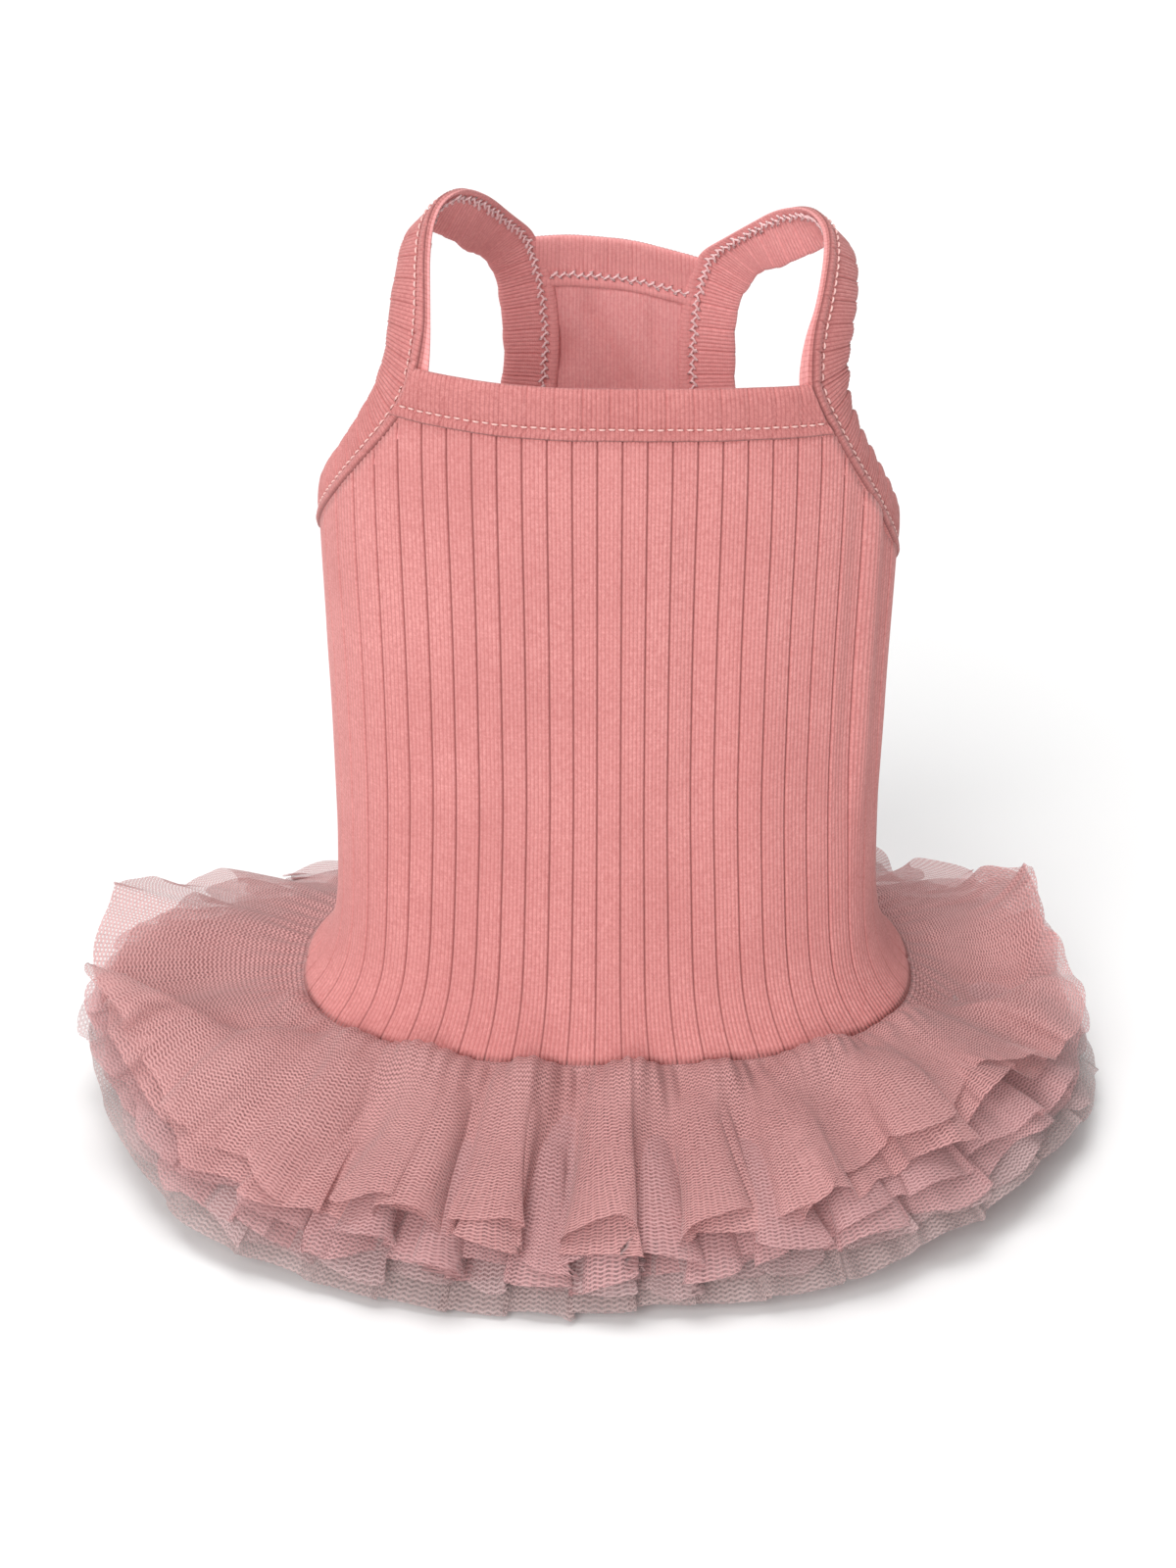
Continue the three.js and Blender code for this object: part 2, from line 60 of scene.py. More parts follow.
SECTION_POWER = 2.5
HEM_HALF, HEM_DEPTH = 79.0, 54.0
CHEST_HALF, CHEST_DEPTH = 69.0, 42.0
NECK_BAND_WIDTH = 12.0
BINDING_WIDTH = 12.5
BAND_RIB = 1.05
BAND_DROP = 6.3
KNIT_HALF_WALL = 0.7
SEAM_GAP = 0.3
SIDE_LAP = 0.05
STRAP_FOOT = 0.035
BINDING_TUCK = 5.0
INTO_BINDING = 1.5
STITCH_PITCH = 2.2
DASH_SHARE = 0.74
TULLE_DEPTH = 62.0
TULLE_STRIP = 650.0

# z, half width, half depth in front, half depth behind
BODY = np.array([
    (-6, 84, 59, 59), (0, 79, 54, 54), (7, 73.5, 48.5, 48.5), (16, 70, 44.5, 44.5),
    (32, 68.5, 42.5, 42.5), (80, 68.5, 42, 42), (125, 69.5, 42, 42), (156, 69, 42, 41),
    (172, 67.5, 40.5, 38.5), (186, 65, 38, 33), (200, 62, 35, 28),
], float)
# Neck seams: height in the middle, rise per millimetre of x, and the bow at 45 mm to each side.
NECK = {"front": (156.0, 0.0, 2.8, -1.0), "back": (171.6, -0.125, -10.0, -10.0)}
BOW_REACH = 45.0

# The armhole seams: distance along the cloth from the centre front (or centre back), height.
ARMHOLE = {
    ("left", "front"): [
        (43, 172), (45.5, 164), (49.5, 157), (57, 148.3), (63.5, 141.5), (71, 134.3), (82, 125.5),
        (92.5, 119),
    ],
    ("left", "back"): [
        (19.5, 185), (16, 174), (14.2, 163), (14, 150), (16, 136), (23, 123.5), (37, 115), (56, 112),
        (76, 114),
    ],
    ("right", "front"): [
        (44.5, 172), (46.5, 164), (50.5, 156.5), (57.5, 145), (64.5, 135.5), (72, 126), (82, 117),
        (92.5, 111),
    ],
    ("right", "back"): [
        (24.5, 179.5), (21, 169), (19.8, 158), (19.6, 146), (21.5, 132), (28.5, 119), (42, 109.5),
        (60, 105.5), (78, 106.5),
    ],
}
# The straps' two edges, from the front neck corner over the shoulder to the back one.
STRAP = {
    "left": [
        ((-41.7, -30, 178), (-51.4, -22, 176.5)), ((-41.7, -24, 185.8), (-49.9, -14.8, 183.8)),
        ((-41.9, -17, 192), (-49.1, -6.8, 190.4)), ((-41.3, -10, 197.8), (-47.6, 0.2, 193.8)),
        ((-39.2, -4, 201.6), (-45.4, 4.4, 194.6)), ((-35, 3, 202.8), (-42.2, 6, 192.8)),
        ((-29.9, 12, 199.3), (-37.6, 11, 188.6)), ((-24.9, 22, 193), (-33.2, 20, 182.6)),
    ],
    "right": [
        ((45.6, -31, 177), (56, -25.5, 172.5)), ((47.4, -26, 182.5), (56.8, -18.5, 178.5)),
        ((49, -20, 188), (57.6, -11.5, 184.4)), ((50.1, -13, 193), (57.8, -4.4, 188.6)),
        ((49.8, -5.5, 196.6), (56.2, 3.2, 190.4)), ((46.6, 3, 198.3), (51.4, 8.4, 188)),
        ((41, 12, 195.7), (45.8, 12.4, 184.2)), ((35.4, 20.5, 190.6), (39.9, 18.2, 179)),
    ],
}
# A folded band's cut: millimetres from its seam towards its fold, and off the cloth's middle.
# The inner face ends in a lip that lies over the bodice, past the seam.
BAND_OUTER = [
    (0.0, -0.3), (0.1, 0.8), (0.55, 1.5), (1.3, 1.78), (2.2, 1.62), (2.8, 1.1), (3.25, 1.02), (3.8, 1.32),
    (5.2, 1.55), (7, 1.62), (9, 1.58), (10.6, 1.4), (11.6, 1.02), (12.25, 0.45),
]
BAND_INNER = [
    (12.45, -0.2), (12.2, -0.7), (11.3, -1.0), (9.5, -1.06), (7, -1.05), (5, -1.05), (3.4, -1.1),
    (2.5, -0.95), (1.7, -0.9), (0.9, -1.1), (0.0, -1.5), (-1.0, -1.5), (-1.75, -1.2), (-1.95, -0.85),
    (-1.2, -0.6),
]
PROFILE_WIDTH = BAND_INNER[0][0]
STITCH_ACROSS = 3.05
LOOPER_ACROSS = 1.75

# Round the tutu: azimuth, slope down, reach, how far the upper layers stay behind the lowest, and
# how full the small ruffles are.
SPREAD = np.array([
    (0, 26, 0.95, 1, 1.0), (15, 25, 0.93, 1, 1.0), (30, 22, 0.85, 1, 0.85), (45, 20, 0.8, 1, 0.7),
    (60, 20, 0.81, 0.9, 0.6), (75, 21, 0.85, 0.8, 0.5), (90, 23, 0.9, 1.15, 0.35), (105, 21, 0.86, 1, 0.3),
    (125, 14, 0.85, 0.5, 0.4), (150, 22, 0.84, 0.6, 0.75), (180, 20, 0.92, 0.8, 0.9),
    (205, 26, 0.94, 0.6, 0.8), (225, 20, 0.98, 0.3, 0.5), (240, 12, 0.98, 0.2, 0.3),
    (255, 8, 0.96, 0.2, 0.3), (270, 10, 0.96, 0.2, 0.3), (285, 14, 0.92, 0.4, 0.35),
    (300, 17, 0.9, 0.7, 0.5), (315, 20, 0.93, 0.9, 0.7), (330, 24, 0.96, 1, 0.9), (345, 27, 0.97, 1, 1.0),
], float)
# The large turned-up folds: azimuth, half width in degrees, and height.
FOLDS = [(106, 36, 33), (264, 22, 7), (296, 14, 5), (22, 13, 5), (342, 14, 5)]
SHARED_COUNT, SHARED_SWAY = 18, 3.0


# -------- helpers
def floats(values):
    return np.asarray(values, float)


def hermite(xs, ys, at):
    """A smooth line through rows, the same as the solids are made with."""
    xs, ys, at = floats(xs), floats(ys), floats(at)
    n = len(xs)
    i = np.clip(np.searchsorted(xs, at, side="right") - 1, 0, n - 2)
    lo, hi = np.maximum(i - 1, 0), np.minimum(i + 2, n - 1)
    span = xs[i + 1] - xs[i]
    f = np.clip((at - xs[i]) / span, 0, 1)
    start = (ys[i + 1] - ys[lo]) / (xs[i + 1] - xs[lo]) * span
    end = (ys[hi] - ys[i]) / (xs[hi] - xs[i]) * span
    return (ys[i] * (1 + 2 * f) * (1 - f) ** 2 + start * f * (1 - f) ** 2
            + ys[i + 1] * f * f * (3 - 2 * f) + end * f * f * (f - 1))


def hermite_round(rows, column, degrees):
    rows3 = np.concatenate([rows[-2:], rows, rows[:3]])
    xs = np.concatenate([rows[-2:, 0] - 360, rows[:, 0], rows[:3, 0] + 360])
    return hermite(xs, rows3[:, column], np.mod(degrees, 360))


def smooth(x, lo, hi):
    t = np.clip((floats(x) - lo) / (hi - lo), 0, 1)
    return t * t * (3 - 2 * t)


def bell(distance, width):
    return np.exp(-((distance / width) ** 2))


def bump(distance):
    """A rounded rise, 1 in the middle and nothing from 1 outwards."""
    return np.where(np.abs(distance) < 1, np.cos(math.pi * distance / 2) ** 2, 0)


def degrees_off(azimuth, centre):
    return (azimuth - centre + 540) % 360 - 180


def unit(v):
    return v / (np.linalg.norm(v, axis=-1, keepdims=True) + 1e-12)


def blend(t, start, end, a, b):
    return (end - t) / (end - start) * a + (t - start) / (end - start) * b


def catmull(points, count):
    """An evenly spaced smooth line through points, ends included."""
    p = floats(points)
    full = np.vstack([2 * p[0] - p[1], p, 2 * p[-1] - p[-2]])
    out = []
    for k in range(1, len(full) - 2):
        p0, p1, p2, p3 = full[k - 1:k + 3]
        t0, t1 = 0.0, np.linalg.norm(p1 - p0) ** 0.5
        t2 = t1 + np.linalg.norm(p2 - p1) ** 0.5
        t3 = t2 + np.linalg.norm(p3 - p2) ** 0.5
        t = np.linspace(t1, t2, 24, endpoint=False)[:, None]
        a1, a2, a3 = blend(t, t0, t1, p0, p1), blend(t, t1, t2, p1, p2), blend(t, t2, t3, p2, p3)
        out.append(blend(t, t1, t2, blend(t, t0, t2, a1, a2), blend(t, t1, t3, a2, a3)))
    return respace(np.vstack([*out, p[-1:]]), count)


def lengths(line):
    return np.concatenate([[0], np.cumsum(np.linalg.norm(np.diff(line, axis=0), axis=1))])


def between(at, s, line):
    """The points of a line at lengths along it, where s has the lengths of its own points."""
    return np.stack([np.interp(at, s, line[:, k]) for k in range(line.shape[1])], 1)


def respace(line, count):
    s = lengths(line)
    return between(np.linspace(0, s[-1], count), s, line)


def lay(length, seed, *waves):
    """A sum of sines with seeded phases: (wavelength, size) pairs along a length."""
    phase = np.random.default_rng(seed).uniform(0, 2 * math.pi, len(waves))
    return sum(size * np.sin(2 * math.pi * floats(length) / wavelength + p)
               for (wavelength, size), p in zip(waves, phase))


# -------- the body's surface
SECTION_ANGLE = np.linspace(0, 2 * math.pi, 1441)
SECTION_X, SECTION_Y = (np.sign(v) * np.abs(v) ** (2 / SECTION_POWER)
                        for v in (np.sin(SECTION_ANGLE), -np.cos(SECTION_ANGLE)))
SECTION_X[[0, -1]] = 0
SECTION_Y[[0, -1]] = -1
SECTION_S = np.concatenate([[0], np.cumsum(np.hypot(np.diff(SECTION_X) * CHEST_HALF,
                                                    np.diff(SECTION_Y) * CHEST_DEPTH))])
GIRTH = SECTION_S[-1]
SIDE = GIRTH / 4


def rib_along(rib):
    """Where a rib's edge lies along the cloth: closest at centre front and back."""
    rib = floats(rib)
    half_turns = np.round(2 * rib / RIBS_ROUND)
    share = 4 * rib / RIBS_ROUND - 2 * half_turns
    return SIDE * (2 * half_turns + share * (1 - RIB_SPREAD) + RIB_SPREAD * np.sign(share) * share ** 4)


def skin(along, z):
    """The body's plain form: a point by its distance along the cloth and its height."""
    along, z = np.broadcast_arrays(*map(floats, (along, z)))
    a = np.mod(along, GIRTH)
    x, y = np.interp(a, SECTION_S, SECTION_X), np.interp(a, SECTION_S, SECTION_Y)
    half, front, behind = (hermite(BODY[:, 0], BODY[:, k], z) for k in (1, 2, 3))
    return np.stack([x * half, y * np.where(y < 0, front, behind), z], -1)


def body_point(along, z, off=0.0):
    """A point off the body's plain form, square to it."""
    step = 0.8
    along, z, off = np.broadcast_arrays(*map(floats, (along, z, off)))
    n = np.cross(skin(along + step, z) - skin(along - step, z), skin(along, z + step) - skin(along, z - step))
    return skin(along, z) + unit(n) * off[..., None]


def neck_seam(name):
    seam, slope, left, right = NECK[name]

    def height(along):
        x = skin(along, seam)[..., 0]
        return seam + slope * x + np.where(x < 0, left, right) * (x / BOW_REACH) ** 2

    return height


front_seam, back_seam = neck_seam("front"), neck_seam("back")


def armhole_seam(name, count=400):
    side = -1 if name == "left" else 1
    rows = [(side * a, z) for a, z in ARMHOLE[name, "front"]]
    rows += [(side * (GIRTH / 2 - a), z) for a, z in reversed(ARMHOLE[name, "back"])]
    return catmull(rows, count)


SEAM = {name: armhole_seam(name) for name in ("left", "right")}


def inside_armhole(name, along, z):
    """Millimetres past the armhole's seam, positive in the hole."""
    side = -1 if name == "left" else 1
    line = SEAM[name][::4]
    line = np.vstack([line[0] + (0, 40), line, line[-1] + (0, 40)])
    a, b = line[:-1], line[1:]
    best = np.full(along.shape, 1e9)
    signed = np.zeros(along.shape)
    for p, q in zip(a, b):
        d = q - p
        t = np.clip(((along - p[0]) * d[0] + (z - p[1]) * d[1]) / (d @ d), 0, 1)
        ex, ez = along - p[0] - t * d[0], z - p[1] - t * d[1]
        r = np.hypot(ex, ez)
        sign = np.sign(side * (-d[1] * ex + d[0] * ez))
        near = r < best - 1e-9
        best = np.where(near, r, best)
        signed = np.where(near, sign * r, signed)
    return signed


# -------- meshes
def metres(points):
    p = np.array(points, float).reshape(-1, 3)
    p[:, 2] -= SHOULDER_HEIGHT
    return p * 0.001


def make_mesh(name, points, faces, uv=None):
    """points in millimetres from the hem; faces an (n, 4) array; uv per vertex."""
    mesh = bpy.data.meshes.new(name)
    faces = np.asarray(faces, np.int32)
    n, k = faces.shape
    p = metres(points).astype(np.float32)
    mesh.vertices.add(len(p))
    mesh.vertices.foreach_set("co", p.ravel())
    mesh.loops.add(n * k)
    mesh.loops.foreach_set("vertex_index", faces.ravel())
    mesh.polygons.add(n)
    mesh.polygons.foreach_set("loop_start", np.arange(0, n * k, k, dtype=np.int32))
    mesh.polygons.foreach_set("use_smooth", np.full(n, True))
    mesh.update(calc_edges=True)
    if uv is not None:
        layer = mesh.uv_layers.new(name="UVMap")
        layer.data.foreach_set("uv", np.asarray(uv, np.float32)[faces.ravel()].ravel())
    mesh.validate()
    piece = bpy.data.objects.new(name, mesh)
    bpy.context.scene.collection.objects.link(piece)
    return piece


def quads(index, flip=False):
    """The faces of a grid of point numbers."""
    f = np.stack([index[:-1, :-1], index[:-1, 1:], index[1:, 1:], index[1:, :-1]], -1).reshape(-1, 4)
    return f[:, [0, 3, 2, 1]] if flip else f


def declare(piece, slot, *materials, replaces=None):
    for material in materials:
        piece.data.materials.append(material)
    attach(piece, "root")
    if replaces:
        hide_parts(replaces)
    return piece


# -------- materials
class Tree:
    """Short names for the nodes that the cloths' materials use."""

    def __init__(self, name):
        self.material = bpy.data.materials.new(name)
        self.material.use_nodes = True
        tree = self.material.node_tree
        self.nodes, self.links = tree.nodes, tree.links
        self.nodes.clear()
        self.out = self.nodes.new("ShaderNodeOutputMaterial")

    def add(self, kind, **inputs):
        node = self.nodes.new(kind)
        for key, value in inputs.items():
            self.feed(node.inputs[key.replace("_", " ")], value)
        return node

    def feed(self, socket, value):
        if isinstance(value, bpy.types.NodeSocket):
            self.links.new(value, socket)
        else:
            socket.default_value = value

    def math(self, op, a, b=0.0, c=0.0, clamp=False):
        node = self.nodes.new("ShaderNodeMath")
        node.operation, node.use_clamp = op, clamp
        for socket, value in zip(node.inputs, (a, b, c)):
            self.feed(socket, value)
        return node.outputs[0]

    def times(self, a, b):
        return self.math("MULTIPLY", a, b)

    def off(self, a, b):
        return self.math("ABSOLUTE", self.math("SUBTRACT", a, b))

    def noise(self, vector, scale, detail=3.0, rough=0.55):
        node = self.add("ShaderNodeTexNoise", Vector=vector, Scale=scale, Detail=detail, Roughness=rough)
        return node.outputs["Fac"]

    def mix(self, factor, a, b, blend="MIX"):
        node = self.nodes.new("ShaderNodeMix")
        node.data_type, node.blend_type = "RGBA", blend
        for key, value in (("Factor", factor), ("A", a), ("B", b)):
            self.feed(node.inputs[key], value)
        return node.outputs["Result"]

    def remap(self, value, lo, hi, to_lo=0.0, to_hi=1.0):
        node = self.nodes.new("ShaderNodeMapRange")
        for socket, v in zip(node.inputs, (value, lo, hi, to_lo, to_hi)):
            self.feed(socket, v)
        return node.outputs["Result"]

    def surface(self, colour, bumped, roughness, specular, sheen=0.0, alpha=1.0):
        p = self.add("ShaderNodeBsdfPrincipled", Base_Color=colour, Roughness=roughness, Alpha=alpha,
                     Normal=bumped.outputs[0])
        p.inputs["Specular IOR Level"].default_value = specular
        p.inputs["Sheen Weight"].default_value = sheen
        p.inputs["Sheen Roughness"].default_value = 0.5
        self.links.new(p.outputs[0], self.out.inputs["Surface"])
        return p

    def map_axes(self):
        uv = self.add("ShaderNodeUVMap")
        uv.uv_map = "UVMap"
        split = self.add("ShaderNodeSeparateXYZ", Vector=uv.outputs[0])
        return uv.outputs[0], split.outputs[0], split.outputs[1]


def linear(r, g, b):
    def one(c):
        c /= 255
        return c / 12.92 if c <= 0.04045 else ((c + 0.055) / 1.055) ** 2.4
    return (one(r), one(g), one(b), 1.0)


def darker(colour, share):
    return tuple(share * c for c in colour[:3]) + (1.0,)


def knit_material(name, colours, wales, course=0.85, groove_shade=False, seam=False):
    """Fine knit: wales of V stitches, a heathered yarn and a soft fuzz, with painted shade in the
    hollows between the loops and between the wales. The UV map counts the ribs along the cloth and
    gives millimetres up it, or on a band from its seam; wales is how many to one u. It can also paint
    shade along the grooves between the ribs, and the shadow under a seam's ridge as a dark line along it."""
    base, dark, light = (linear(*c) for c in colours)
    t = Tree(name)
    _, u, v = t.map_axes()
    across = t.math("FRACT", t.times(u, wales))
    side = t.off(across, 0.5)
    row = t.math("FRACT", t.math("ADD", t.times(v, 1 / course), t.times(side, 1.1)))
    loop = t.remap(t.off(row, 0.5), 0.05, 0.5, 1.0, 0.0)
    valley = t.remap(side, 0.3, 0.5, 0.0, 1.0)
    coord = t.add("ShaderNodeTexCoord").outputs["Object"]
    speck = t.noise(coord, 1100, 3.0, 0.75)
    cloud = t.noise(coord, 45, 3.0)
    fuzz = t.noise(coord, 4200, 2.0, 0.7)
    colour = t.mix(t.remap(speck, 0.32, 0.68), dark, light)
    colour = t.mix(0.5, colour, base)
    colour = t.mix(t.remap(cloud, 0.35, 0.7, 0.0, 0.3), colour, dark)
    # painted shade: darker in the hollows between the loops and between the wales
    colour = t.mix(t.times(t.math("SUBTRACT", 1.0, loop), 0.16), colour, dark)
    colour = t.mix(t.times(valley, 0.75), colour, dark)
    height = t.math("ADD", t.times(loop, 0.5), t.times(fuzz, 0.55))
    # painted shade: dark lines along the grooves between the ribs
    if groove_shade:
        to_groove = t.off(u, t.math("ROUND", u))
        colour = t.mix(t.remap(to_groove, 0.01, 0.05, 0.6, 0.0), colour, darker(dark, 0.55))
    # painted shadow: a dark line along the seam, where its ridge shades the band
    if seam:
        colour = t.mix(t.remap(v, 0.15, 0.75, 0.85, 0.0), colour, darker(dark, 0.4))
    bumped = t.add("ShaderNodeBump", Strength=0.3, Distance=0.00025, Height=height)
    p = t.surface(colour, bumped, 0.92, 0.2, sheen=0.3)
    p.inputs["Sheen Tint"].default_value = (1.0, 0.82, 0.8, 1.0)
    return t.material


def thread_material(name, colour):
    t = Tree(name)
    colour = linear(*colour)
    twist = t.noise(t.add("ShaderNodeTexCoord").outputs["Object"], 2600, 2.0)
    shade = t.mix(t.remap(twist, 0.3, 0.7, 0.0, 0.5), colour, darker(colour, 0.75))
    bumped = t.add("ShaderNodeBump", Strength=0.4, Distance=0.0001, Height=twist)
    t.surface(shade, bumped, 0.6, 0.3)
    return t.material


def tulle_material(name, colours, cover):
    """Soft net: zigzag rows of thread with holes between, in a cloth that lets light through.
    The UV map is in decimetres along the hem and out from it; the meshes are in millimetres."""
    zig_mesh, row_mesh, leg_mesh = 1.3, 1.25, 0.65
    base, dark, light = (linear(*c) for c in colours)
    t = Tree(name)
    uv, u, v = t.map_axes()
    coord = t.add("ShaderNodeTexCoord").outputs["Object"]
    drift = t.times(t.math("SUBTRACT", t.noise(uv, 9, 2.0), 0.5), 0.9)
    zig = t.math("PINGPONG", t.times(u, 100 / zig_mesh), 0.5)
    row = t.math("FRACT", t.math("ADD", t.math("ADD", t.times(v, 100 / row_mesh), zig), drift))
    rib = t.off(row, 0.5)
    thread = t.remap(rib, 0.14, 0.34, 1.0, 0.0)
    leg = t.off(t.math("FRACT", t.times(u, 100 / leg_mesh)), 0.5)
    legs = t.remap(leg, 0.1, 0.3, 0.75, 0.0)
    net = t.math("MAXIMUM", thread, legs, clamp=True)
    wisp = t.noise(coord, 35, 3.0)
    speck = t.noise(coord, 1300, 2.0)
    colour = t.mix(t.remap(speck, 0.3, 0.7), dark, light)
    colour = t.mix(0.5, colour, base)
    colour = t.mix(t.remap(wisp, 0.35, 0.7, 0.0, 0.3), colour, light)
    colour = t.mix(t.times(thread, 0.6), colour, light)
    bumped = t.add("ShaderNodeBump", Strength=0.3, Distance=0.0002, Height=net)
    t.surface(colour, bumped, 0.8, 0.2, sheen=0.25, alpha=t.remap(net, 0.0, 1.0, *cover))
    return t.material


# the outer knit, with painted shade along its rib grooves
KNIT = knit_material("rib_knit", ((221, 146, 144), (187, 111, 109), (241, 176, 172)), 6, groove_shade=True)
# a lighter copy of the rib knit for its inner face: painted light where the lamps reach less
INSIDE_PAINTED_LIGHT = knit_material("rib_knit_inside_painted_light", ((244, 170, 170), (220, 140, 140), (252, 196, 194)), 6)
# the folded knit, with the painted shadow of its seam's ridge
BAND = knit_material("folded_knit", ((208, 133, 131), (172, 98, 96), (232, 162, 158)), 1, 0.6, seam=True)
# a lighter copy of the folded knit for its inner face: painted light where the lamps reach less
BAND_INSIDE_PAINTED_LIGHT = knit_material("folded_knit_inside_painted_light", ((242, 168, 167), (212, 132, 131), (248, 184, 182)), 1, 0.6)
THREAD = thread_material("stitch_thread", (240, 196, 190))
LOOPER = thread_material("looper_thread", (252, 216, 216))
TULLE = [tulle_material(*row) for row in (
    ("tulle_upper", ((178, 118, 118), (134, 84, 84), (222, 171, 169)), (0.25, 0.87)),
    ("tulle_mid", ((184, 130, 131), (146, 98, 100), (216, 172, 172)), (0.28, 0.8)),
    ("tulle_lower", ((174, 136, 137), (134, 102, 104), (208, 180, 179)), (0.24, 0.76)),
    ("tulle_lining", ((158, 132, 131), (116, 96, 96), (200, 176, 174)), (0.4, 0.88)),
)]


# -------- knit panels
def soft_form(along, z):
    """The cloth's gentle waves, in millimetres off its plain form. along is from the centre front."""
    z = floats(z)
    a = np.mod(floats(along) + GIRTH / 2, GIRTH) - GIRTH / 2
    fade = smooth(z, 4, 26) * (1 - smooth(z, 128, 152))
    front = 0.5 * lay(a, 3, (31, 0.5), (57, 0.5)) * bell(z - 60, 70)
    # soft upright waves down the +X flank, and two shallow slanting pulls across the front
    flank = 0.95 * bell(a - 66.5, 3.2) - 0.8 * bell(a - 72.5, 3.0)
    flank += 0.7 * bell(a - 80, 3.4) - 0.8 * bell(a - 60.5, 3.0)
    flank *= smooth(z, 35, 80)
    flank -= 0.75 * bell(a - 21 + 0.05 * (z - 90), 4.0) * smooth(z, 45, 80)
    flank += 0.5 * bell(a - 37, 7.0) * smooth(z, 30, 80)
    pull = 0.45 * bell(a + 30 - 0.25 * (z - 90), 9) * smooth(z, 30, 70)
    pull -= 0.4 * bell(a - 22 + 0.18 * (z - 80), 11) * smooth(z, 40, 90)
    # behind: creases that meet in a V under the neck, and slack over the belly
    b = np.mod(floats(along), GIRTH) - GIRTH / 2
    crease = 2.2 * bell(b - 3.5 - 0.45 * (z - 162), 2.2) * smooth(z, 125, 145)
    crease += 2.4 * bell(b - 10, 4) * bell(z - 153 - 0.4 * (b - 10), 3.5)
    crease += 1.5 * bell(b + 12.5 - 0.2 * (z - 155), 1.7) * bell(z - 157, 7)
    crease *= 1 - smooth(z, 163, 169)
    slack = 0.8 * bell(z - 78 - 0.12 * b, 11) * np.cos(b / 34)
    slack -= 0.6 * bell(z - 52 + 0.1 * b, 10) * np.cos(b / 30)
    slack *= smooth(z, 20, 45) * (1 - smooth(z, 98, 112))
    behind = smooth(np.abs(a), SIDE - 12, SIDE + 12)
    return (1 - behind) * fade * (front + flank + pull) + behind * (crease - slack)


def wales(rib, z, depth=0.21, hem_depth=0.17):
    """The fine wales, deeper over the last centimetre above the hem."""
    valley = 1 - np.abs(np.sin(math.pi * WALES_PER_RIB * rib)) ** 0.8
    return (depth + hem_depth * (1 - smooth(z, 7, 20))) * valley


def dropped_stitches(rib, z):
    """The narrow grooves between the ribs, which close towards the hem."""
    to_groove = (rib - 0.5 - np.round(rib - 0.5)) * RIB_WIDTH
    return (0.1 + 0.5 * smooth(z, 5, 18)) * bell(to_groove, 0.26)


def rib_drift(rib, z):
    """In front the ribs draw together towards the neck and spread towards the hem."""
    share = np.clip(4 * rib / RIBS_ROUND, -1, 1)
    pull = 0.055 * smooth(z, 15, 75) + 0.03 * smooth(z, 75, 150) - 0.045
    return -rib_along(rib) * pull * (1 - share ** 2) * (np.abs(rib) < RIBS_ROUND / 4)


def armhole_top(along, low, high):
    """Where a line up the cloth first meets an armhole's seam, or the neck."""
    z = np.linspace(90, high.max(), 240)
    a = np.broadcast_to(along[:, None], (len(along), len(z)))
    zz = np.broadcast_to(z[None], a.shape)
    edges = (("left", a), ("right", a), ("left", a - GIRTH))
    inside = np.max([inside_armhole(name, at, zz) for name, at in edges], axis=0) > low
    first = np.where(inside.any(1), z[np.argmax(inside, 1)], high)
    return np.minimum(first, high)


def knit_panel(name, node, first, last, seam_of, rows):
    """A ribbed wall with its wales outside and in, cut along the neck and the armholes, so that
    its edges lie hidden inside the bands."""
    shares = np.sort(np.concatenate([np.arange(4 * WALES_PER_RIB) / (4 * WALES_PER_RIB), [0.02, 0.98]]))
    ribs = np.append((np.arange(first, last)[:, None] + shares[None, :]).ravel(), last)
    along = rib_along(ribs)
    # sewn edge to edge at the sides, so that no light comes through
    along[0] -= SIDE_LAP
    along[-1] += SIDE_LAP
    top = armhole_top(along, 1.1, seam_of(along) + 1.0)
    up = np.concatenate([np.linspace(0, 0.13, 12), np.linspace(0.13, 1, rows)[1:]])
    z = up[:, None] * (top[None, :] - 0.15) + 0.15
    rib = np.broadcast_to(ribs[None, :], z.shape)
    a = along[None, :] + rib_drift(rib, z) * (1 - smooth(up, 0.55, 1.0))[:, None]
    form = soft_form(a, z)
    edge = np.minimum(a - along[0], along[-1] - a)
    turned_in = 0.7 * bell(edge, 0.8)
    outer = body_point(a, z, KNIT_HALF_WALL + form - wales(rib, z) - dropped_stitches(rib, z) - turned_in)
    inner = body_point(a, z, form - 0.6 + wales(rib, z, 0.12, 0) - 0.7 * turned_in)
    outer[0, :, 2] = inner[0, :, 2] = 0.15
    n = z.size
    index = np.arange(n).reshape(z.shape)
    skin_faces = quads(index)
    rim = np.concatenate([index[0], index[1:, -1], index[-1, -2::-1], index[-2::-1, 0]])
    rim_faces = np.stack([rim[1:], rim[:-1], rim[:-1] + n, rim[1:] + n], 1)
    faces = np.vstack([skin_faces, skin_faces[:, ::-1] + n, rim_faces])
    uv = np.stack([rib.ravel() - 0.5, z.ravel()], 1)
    points = np.vstack([outer.reshape(-1, 3), inner.reshape(-1, 3)])
    piece = make_mesh(name, points, faces, np.vstack([uv, uv + (0.5 / WALES_PER_RIB, 0)]))
    declare(piece, "rib_knit", KNIT, INSIDE_PAINTED_LIGHT, replaces=node)
    sides = np.repeat([0, 1, 0], [len(skin_faces), len(skin_faces), len(rim_faces)])
    piece.data.polygons.foreach_set("material_index", sides)
    return piece


quarter = RIBS_ROUND / 4
front_panel = knit_panel("front_panel", "bodice_front", -quarter, quarter, front_seam, 34)
back_panel = knit_panel("back_panel", "bodice_back", quarter, 3 * quarter, back_seam, 36)


